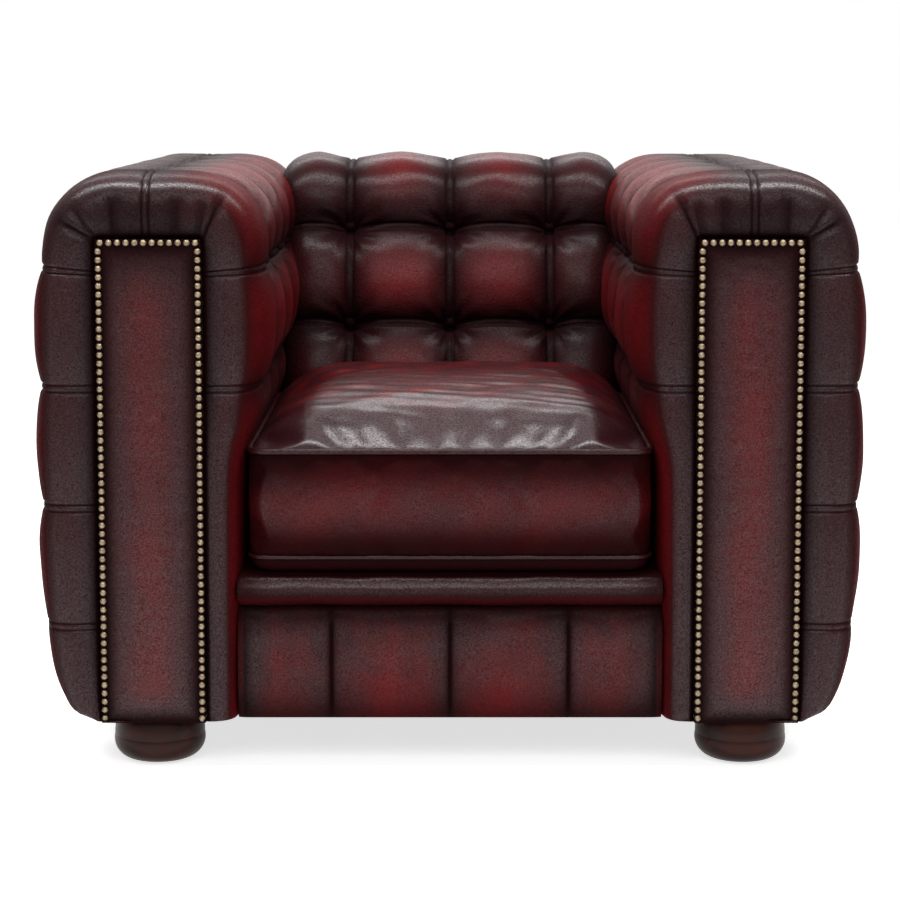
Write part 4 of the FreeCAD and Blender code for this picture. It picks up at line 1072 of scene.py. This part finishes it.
def add_cushion():
    """The cushion's cover, blown up but by no more than cap * tanh(move / cap); gives its two seams."""
    points, quads, top_seam, low_seam = cushion_net()
    x, y, z = points.T
    by_zip = (y > cushion_rear(z) - 4) & (np.abs(z - 334.6) < 24) & (np.abs(x) < 232)
    pinned = by_zip | (z < LOW_SEAM - 1)
    pinned[np.concatenate([top_seam, low_seam])] = True
    shape = points.copy()
    move = settle("cushion_trial", points, quads, pinned) - points
    cap = np.where((y > cushion_rear(z) - 12)[:, None], 4.0, [3.0, 11.0, 12.0])
    move = cap * np.tanh(move / cap)
    shape = points + move
    print("cushion moved up to", np.abs(move).max(axis=0).round(1), "mm")
    crown = ease(z, TOP_SEAM + 4, TOP_SEAM + 30)
    shape[:, 2] += crown * (1.3 * ripple(x * 0.3, y, 30, 98) + 0.8 * ripple(x * 0.6, y, 46, 99))
    rubbed = cushion_rubbed(points)
    seam_gap = np.minimum(np.abs(z - TOP_SEAM), np.abs(z - LOW_SEAM))
    # A painted sheen on the top and across the front band, and painted shade along both welts.
    painted_sheen = bell(z - 345, 34) * 0.5
    gloss_and_painted_light = np.where(z < TOP_SEAM - 1, painted_sheen * ease(seam_gap, 8, 45), ease(seam_gap, 0, 5))
    cover = add_piece("cushion_leather", shape, quads, rubbed, gloss_and_painted_light, body="cushion")
    smooth = cover.modifiers.new("smooth", "SUBSURF")
    smooth.levels = smooth.render_levels = 1
    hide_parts("seat_cushion_cover", "seat_cushion_core")
    return shape[top_seam], shape[low_seam]


top_loop, low_loop = add_cushion()


# %% Welts
def add_welt(name, loop, radius, outward, sides=10):
    """A piped seam: a tube round a closed loop of points, set outward by a few millimetres."""
    tangent = np.roll(loop, -1, axis=0) - np.roll(loop, 1, axis=0)
    tangent = tangent / np.linalg.norm(tangent, axis=1, keepdims=True)
    side = np.cross(tangent, [0, 0, 1.0])
    side = side / np.linalg.norm(side, axis=1, keepdims=True)
    up = np.cross(side, tangent)
    angle = np.linspace(0, 2 * math.pi, sides, endpoint=False)
    ring = side[:, None] * np.cos(angle)[None, :, None] + up[:, None] * np.sin(angle)[None, :, None]
    points = (loop + side * outward)[:, None] + ring * radius
    quads = net_quads(len(loop), sides, closed=True)
    piece = add_piece(name, points, quads, 0.08, 0.5, body="cushion")
    return piece


top_welt = add_welt("cushion_top_welt", top_loop, 4.0, 1.2)
add_welt("cushion_low_welt", low_loop, 2.6, 1.6)
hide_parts("seat_cushion_piping")

# %% [markdown]
# ## Finishes of the solid parts
#
# The parts whose solids already have the right shape keep them and get a finish: turned mahogany feet,
# antiqued brass nails, leather buttons, and the frame, springs and cloths inside.


# %% Wood finishes
def wood(name, dark, light, along, gloss, streak=18.0):
    """Grain stretched along an axis: noise on coordinates that are squeezed across it."""
    made = Material(name, Coat_Weight=gloss, Coat_Roughness=0.12, Specular_IOR_Level=0.1)
    scale = [streak, streak, streak]
    scale[along] = streak / 12
    spot = made.stretched(scale)
    grain = made.noise(1.6, 6.0, where=spot, rough=0.62)
    pores = made.noise(9.0, 2.0, where=spot)
    amount = (grain * 2.4 - 0.75 + (pores - 0.5) * 0.35).clipped()
    made.put("Base Color", made.colours(amount, dark, light))
    made.put("Roughness", grain * 0.2 + 0.3)
    made.bump(grain * 0.6 + pores * 0.4, 0.25, 0.0006)
    return made.data


def woven(name, dark, light, threads, depth=0.0006):
    """Over-and-under threads: |sin x| and |sin y| waves multiplied."""
    made = Material(name, Roughness=0.9, Specular_IOR_Level=0.05)
    axes = made.node("SeparateXYZ", Vector=made.place()).socket.node.outputs
    waves = [(Shade(made.tree, axes[i]) * threads).wave() for i in range(3)]
    weave = waves[0] * 0.5 + waves[1] * 0.5 + waves[2] * 0.35
    cloud = made.noise(40.0)
    made.put("Base Color", made.colours((weave * 0.6 + cloud * 0.5).clipped(), dark, light))
    made.bump(weave + cloud * 0.4, 0.6, depth)
    return made.data


def spotted(name, first, second, scale, rough, metal=0.0, depth=0.0004):
    """A finish that varies softly between two colours."""
    made = Material(name, Metallic=metal)
    cloud = made.noise(scale, 5.0, rough=0.6)
    made.put("Base Color", made.colours((cloud * 1.8 - 0.4).clipped(), first, second))
    made.put("Roughness", cloud * 0.2 + rough)
    made.bump(cloud, 0.3, depth)
    return made.data


# %% Finishes by node
FINISHES = {
    "arm_outer_buttons arm_inner_buttons back_inside_buttons back_rear_buttons": LEATHER,
    "left_arm_front_board right_arm_front_board left_arm_rear_board right_arm_rear_board left_arm_top_rail "
    "right_arm_top_rail left_seat_side_rail right_seat_side_rail arm_base_rails back_posts back_top_board "
    "back_rear_uprights seat_front_rail seat_spring_rail seat_rear_rail frame_dowels foot_blocks": wood(
        "beech_frame", (0.30, 0.17, 0.08), (0.52, 0.34, 0.19), 2, 0.0
    ),
    "arm_side_panels facing_boards back_rear_panel": wood(
        "birch_ply", (0.42, 0.30, 0.18), (0.62, 0.48, 0.32), 2, 0.0, 10.0
    ),
    "front_left_foot front_right_foot rear_left_foot rear_right_foot": wood(
        "mahogany_feet", (0.002, 0.0005, 0.0003), (0.034, 0.0050, 0.0012), 0, 0.06, 40.0
    ),
    "seat_deck_pad": spotted("upholstery_foam", (0.62, 0.55, 0.36), (0.74, 0.68, 0.48), 160.0, 0.8),
    "seat_springs spring_clips foot_bolts foot_nuts block_screws dust_cover_staples zip_slider": spotted(
        "sprung_steel", (0.32, 0.32, 0.33), (0.5, 0.5, 0.5), 60.0, 0.28, 1.0
    ),
    "facing_nails": spotted("antique_brass", (0.10, 0.070, 0.045), (0.34, 0.27, 0.18), 320.0, 0.34, 1.0),
    "back_webbing": woven("jute_webbing", (0.30, 0.20, 0.11), (0.50, 0.37, 0.22), 900.0),
    "seat_hessian": woven("hessian", (0.28, 0.20, 0.12), (0.52, 0.40, 0.26), 1200.0),
    "seat_deck_lining": woven("deck_lining", (0.015, 0.012, 0.012), (0.05, 0.04, 0.04), 1800.0, 0.0003),
    "dust_cover": woven("dust_cloth", (0.012, 0.012, 0.012), (0.035, 0.035, 0.035), 1500.0, 0.0003),
    "cushion_zip": woven("zip_tape", (0.012, 0.004, 0.005), (0.04, 0.012, 0.014), 2500.0, 0.0003),
    "foot_glides": spotted("glide_plastic", (0.03, 0.025, 0.02), (0.05, 0.045, 0.04), 90.0, 0.45),
}
dressed = set()
for names, finish in FINISHES.items():
    for name in names.split():
        for holder in nodes[name].material_slots:
            holder.material = finish
        dressed.add(name)
print("dressed", len(dressed), "nodes; replaced:", sorted(set(nodes) - dressed))

# %% [markdown]
# ## Floor and background
#
# The floor and the world are white to the camera, to reflections and to what shines through, as in the
# photo, but light the chair only softly. The kind of ray decides, so no extra light falls on the leather, and
# the floor keeps the chair's shadow.


# %% Floor
def add_floor():
    """A pale matt floor that keeps the chair's shadow."""
    x = np.linspace(-12000, 12000, 13)
    points = np.stack(np.broadcast_arrays(x[:, None], x[None, :], 0.0), axis=-1)
    mesh = bpy.data.meshes.new("floor")
    quads = net_quads(13, 13)
    mesh.from_pydata((points.reshape(-1, 3) * MM).tolist(), [], quads.tolist())
    made = Material("floor_paint", Roughness=0.9)
    made.put("Base Color", made.colours(made.noise(0.8), (0.84, 0.84, 0.84), (0.87, 0.87, 0.87)))
    made.put("Emission Color", (1.0, 1.0, 1.0, 1.0))
    made.put("Emission Strength", seen_directly(made.tree) * 0.7)
    mesh.materials.append(made.data)
    floor = bpy.data.objects.new("floor", mesh)
    bpy.context.scene.collection.objects.link(floor)
    return floor


def add_world():
    """White to the camera, and a plain soft light for everything else."""
    world = bpy.data.worlds.new("studio")
    world.use_nodes = True
    bpy.context.scene.world = world
    tree = world.node_tree
    back = tree.nodes["Background"]
    join(tree, back.inputs["Strength"], seen_directly(tree) * 0.7 + 0.3)
    back.inputs["Color"].default_value = (1, 1, 1, 1)


add_floor()
add_world()
print("floor and world ready")
